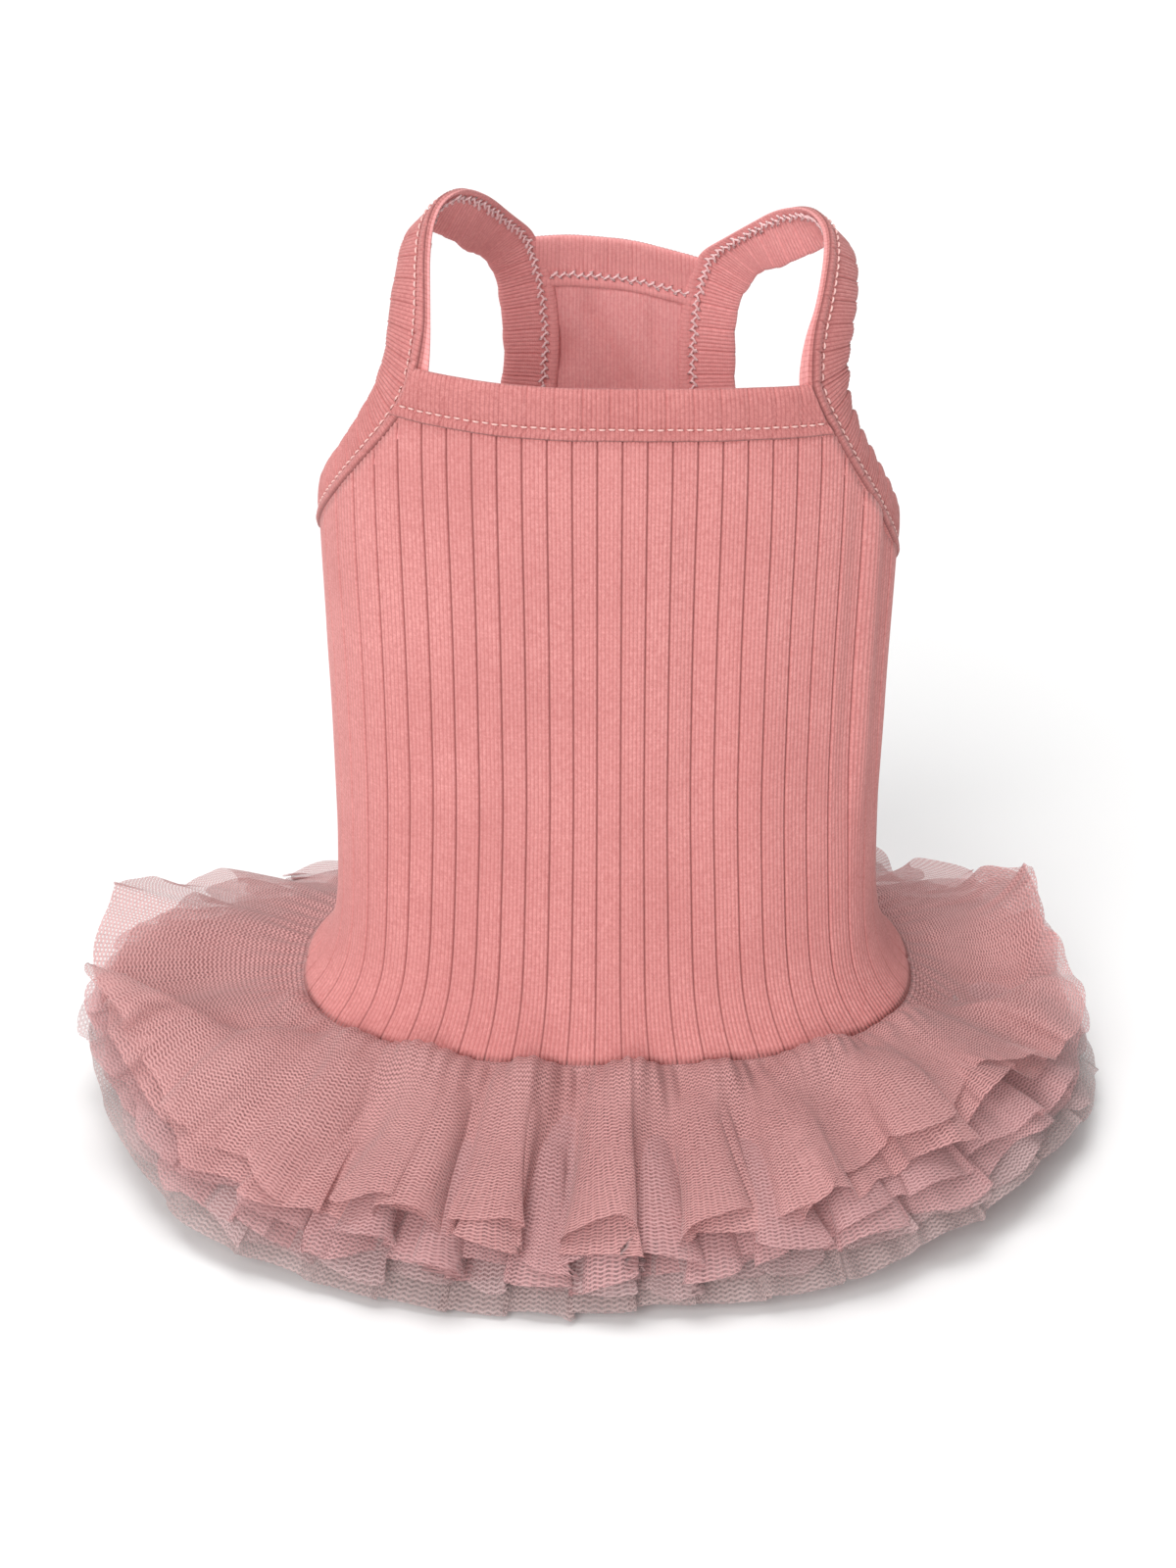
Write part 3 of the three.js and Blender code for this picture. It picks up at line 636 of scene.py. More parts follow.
# -------- folded bands and bindings
PROFILE = np.array(BAND_OUTER + BAND_INNER, float)
INNER_SIDE = np.array([0] * len(BAND_OUTER) + [1] * len(BAND_INNER), np.int32)


def band_relief(along, across, depth=0.24):
    """The folded knit's small ribs run across it, with a deeper one at each dropped stitch."""
    s = along + 0.5 * np.clip(2.9 - across, 0, 3)
    fine = depth * (1 - np.abs(np.sin(math.pi * s / BAND_RIB)))
    return fine + 0.3 * bell(off_drop(s), 0.35)


def off_drop(along):
    """Millimetres to the nearest dropped stitch of a band."""
    return (along / BAND_DROP - np.round(along / BAND_DROP)) * BAND_DROP


def band_uv(along, across, off):
    """Counts the small ribs, and gives the inner face a range of its own, clear of the seam's painted shadow.
    """
    along = floats(along)
    return np.stack([along / BAND_RIB, np.full(len(along), across + (0 if off > 0 else 20))], 1)


def neck_wave(along):
    return 0.12 * lay(along, 5, (17, 1.0), (41, 1.0))


def neck_band(name, node, centre, ends, seam_of, n):
    """ends gives how far along the band reaches at a height, on each side."""
    t = np.linspace(0, 1, n)
    pts, uvs = [], []
    for across, off in PROFILE:
        across_here = across * NECK_BAND_WIDTH / PROFILE_WIDTH
        low, high = ends(float(seam_of(np.array(centre)) + across_here))
        along = low + (high - low) * t
        z = seam_of(along) + across_here
        face, sign = (1, 1) if off > 0 else (0.55, -1)
        sunk = band_relief(along - centre, across) * (across > 0.3) * face
        pts.append(body_point(along, z, off + soft_form(along, z) - sign * sunk + neck_wave(along)))
        uvs.append(band_uv(along, across, off))
    index = np.arange(len(PROFILE) * n).reshape(-1, n)
    faces = quads(np.vstack([index, index[:1]]))
    piece = make_mesh(name, np.array(pts), faces, np.array(uvs).reshape(-1, 2))
    piece.data.polygons.foreach_set("material_index", np.repeat(INNER_SIDE, n - 1))
    close_ends(piece.data, index[:, 0], index[:, -1])
    return declare(piece, "band_knit", BAND, BAND_INSIDE_PAINTED_LIGHT, replaces=node)


def close_ends(mesh, first, last):
    """The band's two ends, hidden in the bindings, get one face each."""
    b = bmesh.new()
    b.from_mesh(mesh)
    b.verts.ensure_lookup_table()
    b.faces.new([b.verts[i] for i in first[::-1]])
    b.faces.new([b.verts[i] for i in last])
    bmesh.ops.recalc_face_normals(b, faces=b.faces)
    b.to_mesh(mesh)
    b.free()


def seam_reach(name, part):
    """How far along the armhole's seam stands from the centre, at a height near the neck."""
    rows = np.array(ARMHOLE[name, part][:4 if part == "back" else 5], float)[::-1]
    return lambda z: float(hermite(rows[:, 1], rows[:, 0], z))


front_reach = [seam_reach("left", "front"), seam_reach("right", "front")]
back_reach = [seam_reach("left", "back"), seam_reach("right", "back")]


def front_ends(z):
    return -front_reach[0](z) - INTO_BINDING, front_reach[1](z) + INTO_BINDING


def back_ends(z):
    # along grows from the centre front by +X, so the +X side comes first behind
    return GIRTH / 2 - back_reach[1](z) - INTO_BINDING, GIRTH / 2 + back_reach[0](z) + INTO_BINDING


front_band = neck_band("front_neck_band", "neck_band_front", 0.0, front_ends, front_seam, 640)
back_band = neck_band("back_neck_band", "neck_band_back", GIRTH / 2, back_ends, back_seam, 330)


def binding_edges(name, count):
    """The seam's edge and the fold's edge of an armhole binding, evenly spaced all the way round,
    with the strap over the shoulder."""
    side = -1 if name == "left" else 1
    seam = SEAM[name]
    share = np.linspace(0, 1, len(seam))

    def rows(at):
        p = between(at, share, seam)
        ahead = unit(between(at + 0.004, share, seam) - between(at - 0.004, share, seam))
        inward = side * np.stack([-ahead[:, 1], ahead[:, 0]], 1)
        tuck = np.where(p[:, 0] * side < SIDE, BINDING_TUCK * smooth(p[:, 1], 118, 145), 0)
        near = p + inward * (SEAM_GAP + 0.1)
        far = p + inward * BINDING_WIDTH
        return body_point(near[:, 0], near[:, 1]), body_point(far[:, 0], far[:, 1], -tuck)

    fine = np.linspace(STRAP_FOOT, 1, 420)
    neck, arm = rows(fine)
    coarse_neck, coarse_arm = rows(np.linspace(STRAP_FOOT, 1, 59))
    strap = np.array(STRAP[name][::-1], float)
    over_neck = catmull(np.vstack([coarse_neck[-3:], strap[:, 0], coarse_neck[:3]]), 600)
    over_arm = catmull(np.vstack([coarse_arm[-3:], strap[:, 1], coarse_arm[:3]]), 600)

    def part(line, start, end):
        i = np.argmin(np.linalg.norm(line - start, axis=1))
        j = np.argmin(np.linalg.norm(line - end, axis=1))
        return respace(line[i:j + 1], 240)[1:-1]

    neck = np.vstack([neck, part(over_neck, coarse_neck[-1], coarse_neck[0])])
    arm = np.vstack([arm, part(over_arm, coarse_arm[-1], coarse_arm[0])])
    middle = (neck + arm) / 2
    s = lengths(np.vstack([middle, middle[:1]]))
    at = np.linspace(0, s[-1], count, endpoint=False)
    neck = between(at, s, np.vstack([neck, neck[:1]]))
    arm = ease(between(at, s, np.vstack([arm, arm[:1]])), 1400)
    # the fold's edge runs softly on from the armhole into the strap, in front and behind
    to_front = np.minimum(at, s[-1] - at)
    joined = np.maximum(bell(to_front, 13), bell(at - s[len(fine)], 11))
    arm = arm + (ease(arm, 3500) - arm) * joined[:, None]
    return ease(neck, 120), arm, at, s[-1]


def ease(line, turns):
    """Takes the small kinks out of a closed line."""
    for _ in range(turns):
        line = 0.5 * line + 0.25 * (np.roll(line, 1, 0) + np.roll(line, -1, 0))
    return line


def binding(name):
    side = -1 if name == "left" else 1
    count = 1285
    neck, arm, at, length = binding_edges(name, count)
    middle = (neck + arm) / 2
    width = arm - neck
    outward = unit(np.cross(unit(np.roll(middle, -2, 0) - np.roll(middle, 2, 0)), unit(width))) * side
    s = at * (round(length / BAND_RIB) * BAND_RIB / length)
    # the fold's edge is scalloped between the dropped stitches, most on the +X side in front
    tooth = (s / BAND_DROP * side) % 1
    groove = bell(off_drop(s), 0.9) + 0.9 * smooth(tooth, 0.3, 1.0) * (1 - smooth(tooth, 0.93, 1.0))
    near_front = smooth(-middle[:, 1], -4, 8)
    on_strap = smooth(middle[:, 2], 168, 182)
    above_arm = smooth(middle[:, 2], 158, 174)
    scallop = 0.1 + (1.6 if name == "right" else 0.05) * near_front * (1 - 0.8 * above_arm)
    turn = 2 * math.pi * s / length
    wobble = 0.2 * np.sin(9 * turn + side) + 0.12 * np.sin(23 * turn)
    pts, uvs = [], []
    for across, off in PROFILE:
        lip = 0.75 * np.minimum(across, 0) * on_strap
        share = (across - lip) / PROFILE_WIDTH
        sign = 1 if off > 0 else -1
        sunk = band_relief(s, across, 0.27) * (across > 0.2)
        pull = np.clip(share, 0, 1) ** 3 * (wobble - scallop * groove)
        lift = off * (1 - 0.35 * on_strap) - sign * sunk
        pts.append(neck + width * (share + pull / BINDING_WIDTH)[:, None] + outward * lift[:, None])
        uvs.append(band_uv(s, across, off))
    index = np.arange(len(PROFILE) * count).reshape(-1, count)
    ring = np.vstack([index, index[:1]])
    faces = quads(np.hstack([ring, ring[:, :1]]))
    if side < 0:
        faces = faces[:, ::-1]
    piece = make_mesh(f"strap_and_binding_{name}", np.array(pts), faces, np.array(uvs).reshape(-1, 2))
    declare(piece, "band_knit", BAND, BAND_INSIDE_PAINTED_LIGHT, replaces=f"strap_binding_{name}")
    piece.data.polygons.foreach_set("material_index", np.repeat(INNER_SIDE, count))
    return piece, (neck, width, outward, length)


bindings, tracks = {}, {}
for side_name in ("left", "right"):
    bindings[side_name], tracks[side_name] = binding(side_name)


# -------- stitches
def tubes(name, runs, radius, material, sides=6):
    """One mesh of round threads, each through its own row of points, with closed ends."""
    points, faces = [], []
    base = 0
    for run in runs:
        run = floats(run)
        n = len(run)
        ahead = unit(np.gradient(run, axis=0))
        up = np.where(np.abs(ahead[:, 2:3]) > 0.9, np.array([[1.0, 0, 0]]), np.array([[0, 0, 1.0]]))
        e1 = unit(np.cross(ahead, up))
        e2 = np.cross(ahead, e1)
        angle = np.linspace(0, 2 * math.pi, sides, endpoint=False)
        taper = np.ones(n)
        taper[[0, -1]] = 0.45
        ring = (run[:, None] + radius * taper[:, None, None]
                * (np.cos(angle)[None, :, None] * e1[:, None] + np.sin(angle)[None, :, None] * e2[:, None]))
        points.append(ring.reshape(-1, 3))
        i = base + np.arange(n * sides).reshape(n, sides)
        j = np.hstack([i, i[:, :1]])
        faces.append(quads(j, flip=True))
        for ring_at, flip in ((i[0], False), (i[-1], True)):
            cap = np.array([ring_at[[0, k, k + 1, k + 2]] for k in range(1, sides - 2, 2)])
            faces.append(cap[:, ::-1] if flip else cap)
        base += n * sides
    piece = make_mesh(name, np.vstack(points), np.vstack(faces))
    return declare(piece, "band_knit", material)


def dashes(place, length, lift):
    """Stitches along a line: place(at, across, lift) gives a point."""
    runs = []
    for k in range(int(length / STITCH_PITCH)):
        start = (k + 0.5) * STITCH_PITCH
        t = np.linspace(-DASH_SHARE / 2, DASH_SHARE / 2, 5) * STITCH_PITCH
        rise = lift - 0.3 * (2 * np.abs(t) / (DASH_SHARE * STITCH_PITCH)) ** 3
        runs.append(place(start + t, STITCH_ACROSS + 0.06 * math.sin(2.3 * k), rise))
    return runs


def loopers(place, length, lift, reach=0.95):
    """The looper threads on the wrong side: a rounded zigzag whose turns lean over each other."""
    n = int(length / STITCH_PITCH)
    turn = np.arange(8 * n) * math.pi / 4
    at = turn / (2 * math.pi) * (length / n)
    slack = 1 + 0.15 * lay(at, n, (5.3, 1.0), (9.1, 0.7))
    across = LOOPER_ACROSS + reach * slack * np.sin(turn) + 0.2 * np.cos(0.37 * turn)
    lean = 0.62 * slack * np.sin(2 * turn + 0.6)
    bob = lift - 0.1 + 0.16 * np.cos(turn)
    return [place(at + lean, across, bob)]


def binding_place(name):
    neck, width, outward, length = tracks[name]
    n = len(neck)

    def place(at, across, off):
        k = np.mod(floats(at) / length * n, n)
        i, f = np.floor(k).astype(int) % n, (k - np.floor(k))[:, None]
        j = (i + 1) % n
        across, off = np.broadcast_to(across, f[:, 0].shape), np.broadcast_to(off, f[:, 0].shape)

        def pick(v):
            return v[i] * (1 - f) + v[j] * f

        return pick(neck) + pick(width) * (across / PROFILE_WIDTH)[:, None] + pick(outward) * off[:, None]

    return place, length


def neck_place(seam_of, start):
    def place(at, across, off):
        along = start + floats(at)
        z = seam_of(along) + floats(across) * NECK_BAND_WIDTH / PROFILE_WIDTH
        return body_point(along, z, off + neck_wave(along) + soft_form(along, z))

    return place


DASH_LIFT, LOOPER_LIFT = 1.28, -1.25
outer_runs, inner_runs = [], []
for side_name in ("left", "right"):
    place, length = binding_place(side_name)
    outer_runs += dashes(place, length, DASH_LIFT)
    inner_runs += loopers(place, length, LOOPER_LIFT)
for seam_of, (low, high) in ((front_seam, front_ends(NECK["front"][0] + 2)),
                             (back_seam, back_ends(NECK["back"][0] - 2))):
    outer_runs += dashes(neck_place(seam_of, low + 1.2), high - low - 2.4, DASH_LIFT)
    inner_runs += loopers(neck_place(seam_of, low + 1.5), high - low - 3, LOOPER_LIFT)
tubes("cover_stitches", outer_runs, 0.24, THREAD)
tubes("looper_stitches", inner_runs, 0.3, LOOPER)


# -------- the tutu
def fanned(root):
    """Which way the cloth fans out from a point of the hem, along x and y."""
    return root[..., 0] / HEM_HALF ** 2, root[..., 1] / HEM_DEPTH ** 2


def tulle_base(turn, out, short, rise, wave_size, fold, drop):
    """The tutu's own form, the same as the solids', at a distance out along the cloth."""
    root = body_point(turn * GIRTH, 0.0)
    fan = unit(np.stack([*fanned(root), np.zeros(turn.shape)], -1))
    along = np.stack([-fan[..., 1], fan[..., 0], fan[..., 2]], -1)
    azimuth = np.degrees(np.arctan2(fan[..., 0], -fan[..., 1]))
    droop = np.radians(hermite_round(SPREAD, 1, azimuth))
    length = TULLE_DEPTH * hermite_round(SPREAD, 2, azimuth)
    share = out * (1 - short / TULLE_DEPTH * hermite_round(SPREAD, 3, azimuth))
    around = 2 * math.pi * turn
    phase = SHARED_COUNT * around + 0.9 * np.sin(3 * around + 0.5)
    wave = wave_size * (1 + 0.3 * np.sin(5 * around + 1)) * np.sin(phase)
    lift = sum(size * bump(degrees_off(azimuth, a) / half) for a, half, size in FOLDS)
    swell = share ** 1.15
    reach = np.cos(droop) * share * (1.16 - 0.16 * share)
    fall = np.sin(droop) * share ** 1.25
    sway = SHARED_SWAY * np.sin(2 * phase) * swell * share
    p = root + fan * (reach * length)[..., None] + along * sway[..., None]
    p[..., 2] = -SEAM_GAP - 0.5 - drop - fall * length + swell * (wave + rise) + fold * lift * share ** 1.6
    return p, azimuth, share


def seam_azimuth(turn):
    x, y = fanned(skin(floats(turn) * GIRTH, 0))
    return np.degrees(np.arctan2(x, -y))


TURNS = np.linspace(-0.5, 0.5, 1441)
TURN_AZIMUTH = seam_azimuth(TURNS)


def turn_of(azimuth):
    """The place round the hem, from -0.5 to 0.5, whose pleats fan out at an azimuth."""
    azimuth = (floats(azimuth) + 180) % 360 - 180
    return np.interp(azimuth, TURN_AZIMUTH, TURNS)


# The folds that are placed on the top sheets: azimuth of the crest, its height over the
# sheet in millimetres at the rim, the share of the sheet where it starts, and how far its line
# leans round the hem on its way out, in millimetres.
TOP_FOLDS = [
    (-135, 6, 0.1, 0), (-114, 5, 0.05, 2), (-97, 3, 0.2, 0), (-70, 3, 0.3, -6), (-52, 4, 0.3, -8),
    (-40, 4.5, 0.3, -8), (-31, 5.5, 0.2, -8), (-24, 8.5, 0.15, -6), (-19.5, 8, 0.1, -5), (-15.5, 9, 0.05, -4),
    (-9, 15, 0.0, -6), (3, 14, 0.0, 4), (11, 12, 0.0, 2), (19, 9, 0.05, 6), (27, 7, 0.1, 8), (36, 5, 0.2, 8),
    (48, 4, 0.3, 8), (62, 4, 0.2, 6), (80, 4, 0.2, 2), (99, 6, 0.1, 0), (121, 6, 0.15, 0), (140, 5, 0.2, 0),
]
# The wide pleats that radiate on the middle sheets at the front of the +X side.
MIDDLE_FOLDS = [
    (13.5, 6, 0.1, 2), (18.5, 7, 0.1, 3), (23, 7.5, 0.1, 4), (28, 7.5, 0.1, 5), (34.5, 7, 0.1, 5),
    (42.5, 6, 0.1, 5), (53, 5, 0.1, 4), (66, 5, 0.1, 3),
]
# Long ridges that stand on the top sheets: azimuth at the hem and at the rim, how many degrees
# they run out over towards the front and towards the back, and their height at the rim.
RIDGES = [
    (-33, -80, 18, 6, 15.0), (-114, -116, 17, 15, 8.0), (28, 50, 9, 16, 11.0), (50, 97, 17, 5, 8.0),
    (-3.5, -4, 4, 4, -5.0), (-27, -30, 4, 4, -3.0), (13, 14, 4, 4, -3.0),
]
# Hollows that are deepest half way out, the same five numbers: behind the big flap's front ridge,
# where the rim stands up as a hood, and between the puffs in front.
HOLLOWS = [
    (72, 113, 10, 30, 12.5), (-3.3, -3.6, 3, 3, 7.0), (7, 7.2, 2.6, 2.6, 4.5), (-13, -14, 2.6, 2.6, 4.5),
    (-27, -30, 3, 3, 3.0),
]
# Where the top sheets stand up against the hem before they turn down: azimuth, half width in
# degrees, and how far they rise and stand out, in millimetres.
PUFFS = [
    (-55, 16, 5.0, 2.0), (-34, 9, 5.0, 2.0), (-22.5, 9.5, 7.5, 2.5), (-9, 5.5, 7.0, 3.0), (3, 5.5, 7.0, 3.0),
    (13, 5, 5.0, 2.0), (27, 10, 6.5, 2.5), (45, 14, 4.5, 2.0),
]
PUFF_AT = 0.07
# Where the top sheets' rims are drawn in or reach out further: azimuth, half width, millimetres.
DRAWN_IN = [
    (28, 13, 8.0), (45, 13, 12.0), (-9, 5, -2.0), (3, 5, -2.5), (11, 4.5, 1.5), (-20, 7, -1.0),
    (-60, 14, -2.0), (-42, 3.5, -4.5), (-30.5, 2.6, -5.0), (-22, 2.2, -5.5), (-14.5, 2.0, -6.0),
    (-3.5, 2.0, 4.0), (1.2, 1.8, -5.0), (7.2, 1.8, -5.5), (15.5, 2.4, -3.5), (22.5, 2.4, -3.0),
]
# The sheets under the top one stay short of it where it turns up alone, on the -X and +X sides.
UNDER_DRAWN_IN = [(-115, 34, 21.0), (86, 36, 20.0)]


def ridges(rows, azimuth, share):
    lift = 0
    for at_hem, at_rim, front, back, height in rows:
        off = degrees_off(azimuth, at_hem + (at_rim - at_hem) * share)
        towards_front = off * (-1 if at_hem > 0 else 1) > 0
        lift = lift + height * bell(off, np.where(towards_front, front, back))
    return lift


def puffs(azimuth, share):
    """How far the top sheets rise and stand out near the hem."""
    stand = share / PUFF_AT * np.exp(1 - share / PUFF_AT)
    rows = [(bump(degrees_off(azimuth, a) / half) * stand, up, out) for a, half, up, out in PUFFS]
    return sum(b * up for b, up, _ in rows), sum(b * out for b, _, out in rows)


def folds(seed, count, size, onset=(0.2, 0.5), by_hand=(), nudge=0.0):
    """Crests round the hem: turn, height, onset, lean and spacing in millimetres at the hem."""
    g = np.random.default_rng(seed)
    rows = [(turn_of(a + nudge * g.uniform(-2, 2)), h, o, l) for a, h, o, l in by_hand]
    start, end = (rows[-1][0], rows[0][0] + 1) if rows else (0, 1)
    n = max(3, int(round((end - start) * count)))
    for k in range(1, n if rows else n + 1):
        at = start + (end - start) / n * (k + g.uniform(-0.25, 0.25))
        full = float(hermite_round(SPREAD, 4, seam_azimuth((at + 0.5) % 1 - 0.5)))
        height = size * (0.35 + 0.65 * full) * g.uniform(0.6, 1.4)
        rows.append((at, height, g.uniform(*onset), g.uniform(-3, 3)))
    rows = np.array(sorted((r[0] % 1, *r[1:]) for r in rows))
    rows = np.vstack([rows[-3:] - (1, 0, 0, 0), rows, rows[:3] + (1, 0, 0, 0)])
    spacing = np.gradient(rows[:, 0]) * GIRTH
    return np.hstack([rows, spacing[:, None]])


def fold_terms(rows, turn):
    """The phase, and each row's values eased from one crest to the next."""
    i = np.clip(np.searchsorted(rows[:, 0], turn, side="right") - 1, 0, len(rows) - 2)
    f = (turn - rows[i, 0]) / (rows[i + 1, 0] - rows[i, 0])
    s = f * f * (3 - 2 * f)
    mix = rows[i] * (1 - s)[..., None] + rows[i + 1] * s[..., None]
    return 2 * math.pi * (i + f), *np.moveaxis(mix[..., 1:], -1, 0)


def rim_cut(turn, fold_rows, seed, uneven, by_hand):
    """How far out the sheet reaches, as a share of its depth: the rim is cut a little unevenly,
    and the folds' crests reach out furthest."""
    lean = fold_terms(fold_rows, turn)[3]
    phase = fold_terms(fold_rows, (turn - lean / GIRTH) % 1)[0]
    cut = 0.026 * lay(turn, seed, (1 / 7, 1.0), (1 / 19, 0.8), (1 / 41, 0.7)) + 0.02 * np.cos(phase)
    azimuth = seam_azimuth((turn + 0.5) % 1 - 0.5)
    under = min(1, 3 * by_hand) * (by_hand < 1)
    rows = [(a, half, by_hand * mm) for a, half, mm in DRAWN_IN]
    rows += [(a, half, under * mm) for a, half, mm in UNDER_DRAWN_IN]
    drawn = sum(mm * bump(degrees_off(azimuth, a) / half) for a, half, mm in rows)
    return 1 + uneven * cut - drawn / TULLE_DEPTH


def run_map_on(mesh):
    """Lets the last column's UVs run on past the seam of the map."""
    layer = mesh.uv_layers["UVMap"].data
    flat = np.empty(len(layer) * 2, np.float32)
    layer.foreach_get("uv", flat)
    flat = flat.reshape(-1, 4, 2)
    half = TULLE_STRIP / 200
    wrap = flat[:, :, 0].max(1) - flat[:, :, 0].min(1) > half
    over = flat[wrap, :, 0]
    flat[wrap, :, 0] = np.where(over < half, over + 2 * half, over)
    layer.foreach_set("uv", flat.ravel())


def tulle_sheet(name, node, material, base, fold_rows, smalls, seed, by_hand):
    """One gathered sheet: tight pleats at the seam that open into folds with steep sides, and
    smaller ruffles along the rim. base goes to tulle_base, smalls is the ruffles' count and size,
    and by_hand is how much the sheet has of the ridges and the puffs."""
    columns, rows = 1300, 28
    small_count, small_size = smalls
    t = np.arange(columns) / columns
    around = 2 * math.pi * t
    cut = rim_cut(t, fold_rows, seed, min(1.0, small_size), by_hand)
    turn = np.broadcast_to(t[None], (rows, columns))
    out = np.linspace(0, 1, rows)[:, None] ** 1.2 * cut[None]
    p0, azimuth, share = tulle_base(turn, out, *base)
    step = 1e-3
    round_dir = unit(tulle_base(turn + step, out, *base)[0] - p0)
    normal = unit(np.cross(tulle_base(turn, out + step, *base)[0] - p0, round_dir))
    normal = np.where(normal[..., 2:3] < 0, -normal, normal)
    # the large folds, which lean over and open towards the rim
    lean = fold_terms(fold_rows, turn)[3]
    shifted = (turn - lean * share ** 1.3 / GIRTH) % 1
    phase, height, onset, lean, spacing = fold_terms(fold_rows, shifted)
    grow = np.clip((share - onset) / (1 - onset), 0, None)
    crest = 1.3 * ((1 + np.cos(phase)) / 2) ** 0.85 - 0.3
    ruffle = height * grow ** 0.5 * crest
    steep = spacing / (2 * math.pi) * (1 + 0.4 * share) * grow ** 0.5 * 1.6 * height / (height + 4)
    sideways = steep * (0.35 * np.sin(phase) + 0.7 * np.sin(2 * phase)) + 0.4 * lean * grow * crest
    # the small ruffles along the rim
    small_phase = small_count * around + 1.6 * np.sin(3 * around + seed) + 0.9 * np.sin(7 * around)
    full = hermite_round(SPREAD, 4, azimuth)
    small = small_size * (0.3 + 0.7 * full) * share ** 3 * (1 + 0.5 * np.sin(5 * around + seed))
    ruffle = ruffle + small * np.sin(small_phase)
    sideways = sideways + 0.5 * small * np.sin(2 * small_phase)
    # tight gathers where the sheet is sewn on, and a slight crumple all over
    near = bell(out, 0.22) * (1 - bell(out, 0.025))
    gather = 0.5 * near * np.sin(112 * around + 2 * np.sin(9 * around))
    crumple = 0.3 * share * lay(t, seed + 5, (1 / 67, 0.7), (1 / 103, 0.6)) * (1 + np.sin(7 * share + seed))
    p = p0 + normal * (ruffle + gather + crumple)[..., None] + round_dir * sideways[..., None]
    up, outwards = puffs(azimuth, share)
    p = p + unit(p0 * (1, 1, 0)) * (by_hand * outwards)[..., None]
    p[..., 2] += by_hand * (up + ridges(RIDGES, azimuth, share) * share ** 0.8)
    # the under sheets follow the hollows as far as they follow the flap
    half_way = np.sin(math.pi * np.clip(share, 0, 1)) ** 1.5
    p[..., 2] -= base[3] * ridges(HOLLOWS, azimuth, share) * half_way
    # up into the hem seam
    p[..., 2] += (0.9 + base[4]) * bell(out, 0.04)
    uv = np.stack([turn.ravel() * TULLE_STRIP, out.ravel() * TULLE_DEPTH], 1) / 100
    index = np.arange(rows * columns).reshape(rows, columns)
    piece = make_mesh(name, p, quads(np.hstack([index, index[:, :1]]), flip=True), uv)
    run_map_on(piece.data)
    declare(piece, "tulle", material, replaces=node)


for sheet in (
    # name, node, material, (short, rise, wave, fold, drop), folds, small ruffles, seed, share of the listed
    # ridges and puffs
    ("tulle_top_outer", "tulle_top", TULLE[0], (12, 5.0, 0.6, 1.0, 0.0),
     folds(21, 22, 6, (0, 0.2), TOP_FOLDS), (47, 1.3), 21, 1.0),
    ("tulle_top_inner", None, TULLE[0], (9, 3.0, 0.6, 0.72, 0.7),
     folds(22, 22, 5, (0, 0.3), TOP_FOLDS, 1.0), (51, 1.5), 22, 0.75),
    ("tulle_middle_outer", "tulle_middle", TULLE[1], (6, 0.2, 0.8, 0.5, 1.4),
     folds(23, 25, 5.5, (0.2, 0.5), MIDDLE_FOLDS), (53, 1.2), 23, 0.15),
    ("tulle_middle_inner", None, TULLE[1], (4, -2.2, 0.8, 0.32, 2.1),
     folds(24, 28, 4.5, (0.2, 0.5), MIDDLE_FOLDS, 1.5), (59, 1.1), 24, 0.05),
    ("tulle_bottom_outer", "tulle_bottom", TULLE[2], (4, -4.0, 0.8, 0.12, 2.8),
     folds(25, 27, 3.2), (61, 1.2), 25, 0.0),
    ("tulle_bottom_inner", None, TULLE[3], (0.5, -5.6, 0.3, 0.06, 3.4),
     folds(26, 13, 0.6), (29, 0.3), 26, 0.0),
):
    tulle_sheet(*sheet)

# -------- the bindings' lengths, looked up along their tracks and not used
for side_name, piece in bindings.items():
    length = tracks[side_name][3]

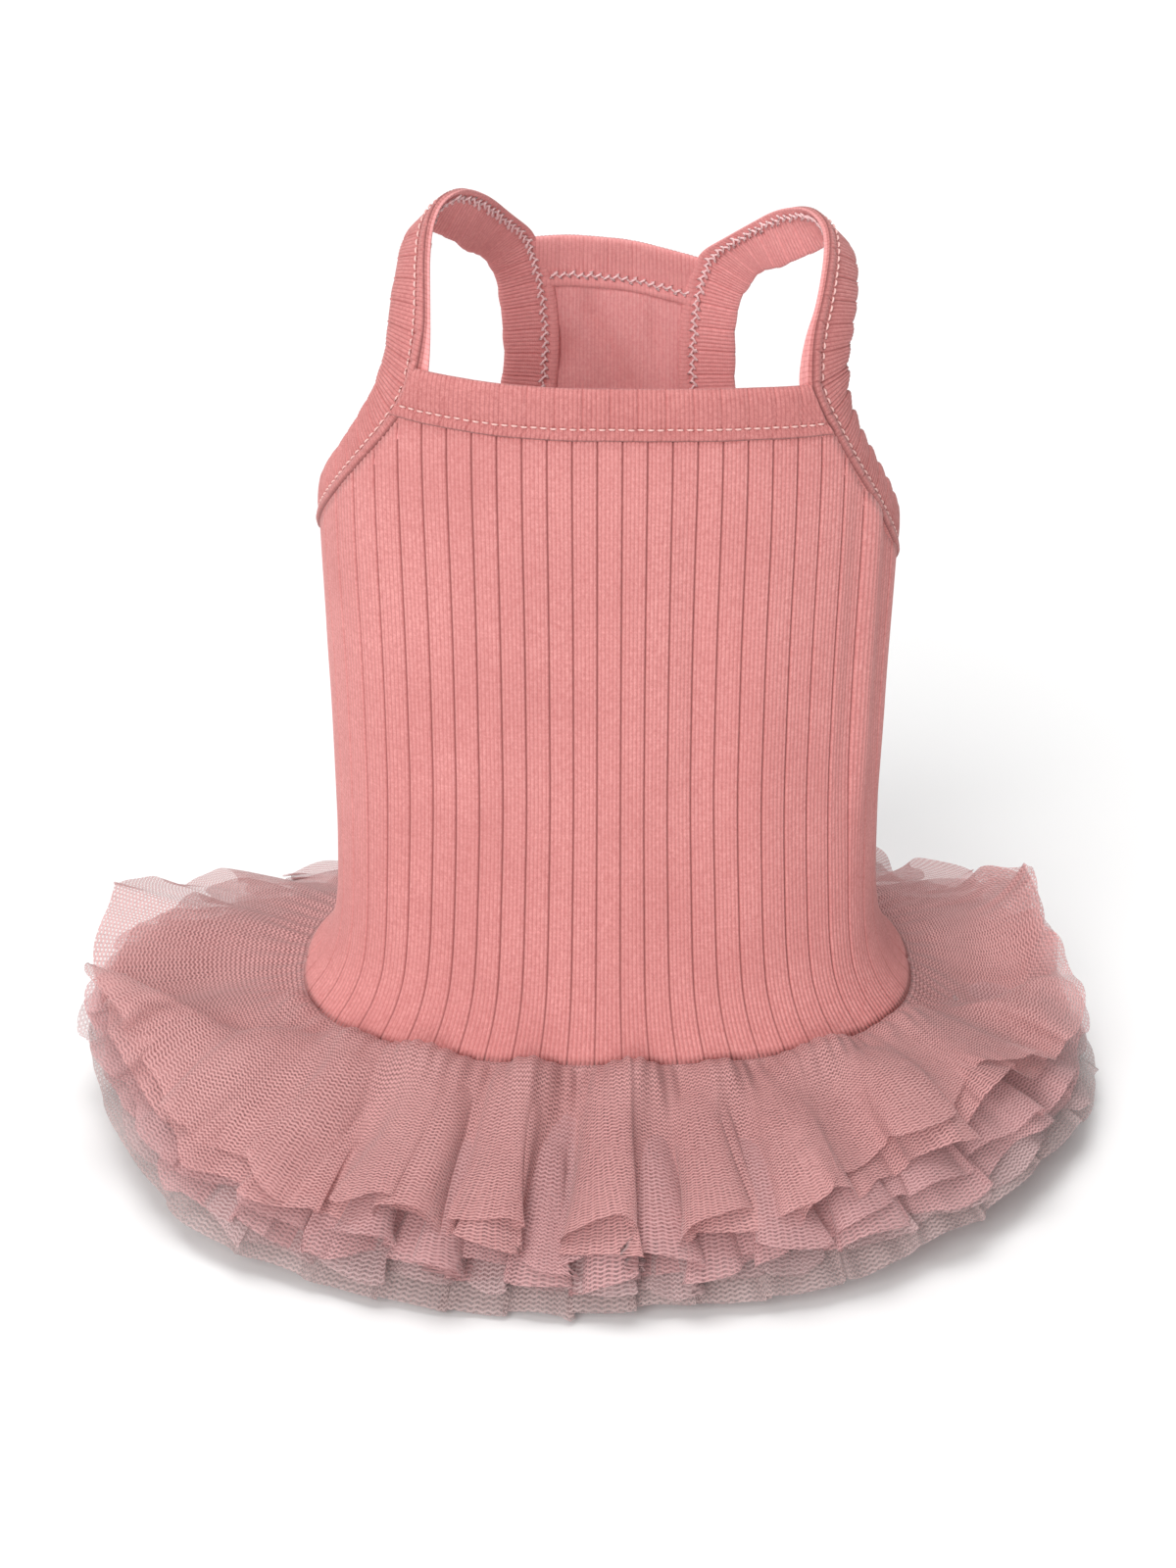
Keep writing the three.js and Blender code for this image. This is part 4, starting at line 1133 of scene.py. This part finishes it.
# -------- floor, light and camera
FLOOR_SIZE = 80.0
scene = bpy.context.scene
floor_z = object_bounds()[0][2] - 0.001
edge = FLOOR_SIZE / 2
corners = [(-edge, -edge, floor_z), (edge, -edge, floor_z), (edge, edge, floor_z), (-edge, edge, floor_z)]
floor_mesh = bpy.data.meshes.new("floor")
floor_mesh.from_pydata(corners, [], [(0, 1, 2, 3)])
floor = bpy.data.objects.new("floor", floor_mesh)
scene.collection.objects.link(floor)
floor_tree = Tree("floor_paper")
paper = floor_tree.add("ShaderNodeBsdfPrincipled", Base_Color=(0.97, 0.97, 0.97, 1), Roughness=0.9)
paper.inputs["Specular IOR Level"].default_value = 0.1
floor_tree.links.new(paper.outputs[0], floor_tree.out.inputs["Surface"])
floor.data.materials.append(floor_tree.material)

world = bpy.data.worlds.new("studio")
scene.world = world
world.use_nodes = True
sky = world.node_tree.nodes["Background"].inputs
sky[0].default_value, sky[1].default_value = (1, 1, 1, 1), 0.21


def sun(name, toward, strength, spread, colour=(1, 1, 1)):
    """A broad soft light from a direction; toward points from the dress to the light."""
    data = bpy.data.lights.new(name, "SUN")
    data.energy, data.angle, data.color = strength, math.radians(spread), colour
    light = bpy.data.objects.new(name, data)
    scene.collection.objects.link(light)
    light.rotation_euler = Vector(toward).to_track_quat("Z", "Y").to_euler()


sun("key", (-0.4, -0.8, 0.65), 1.55, 32, (1.0, 0.99, 0.98))
sun("front", (-0.2, -1.0, 0.12), 1.15, 36)
sun("top", (-0.1, 0.1, 1.0), 1.85, 40)

scene.view_settings.view_transform = "Standard"
scene.cycles.transparent_max_bounces = 40
scene.cycles.max_bounces = 10
scene.cycles.diffuse_bounces = 5

# the photograph's view: 25 degrees up, 4 pixels to the millimetre at the dress's middle
LENS, ELEVATION, AIM = 65.0, math.radians(25), (-0.005, 0.0, (51 - SHOULDER_HEIGHT) / 1000)
DISTANCE = 1600 * LENS / 36 / 4 / 1000
camera_data = bpy.data.cameras.new("camera")
camera_data.lens, camera_data.sensor_width, camera_data.sensor_height = LENS, 36, 36
camera_data.sensor_fit = "AUTO"
camera_data.clip_start, camera_data.clip_end = 0.01, 50
camera = bpy.data.objects.new("camera", camera_data)
scene.collection.objects.link(camera)
camera.location = (AIM[0], AIM[1] - DISTANCE * math.cos(ELEVATION), AIM[2] + DISTANCE * math.sin(ELEVATION))
camera.rotation_euler = (math.pi / 2 - ELEVATION, 0, 0)
scene.camera = camera
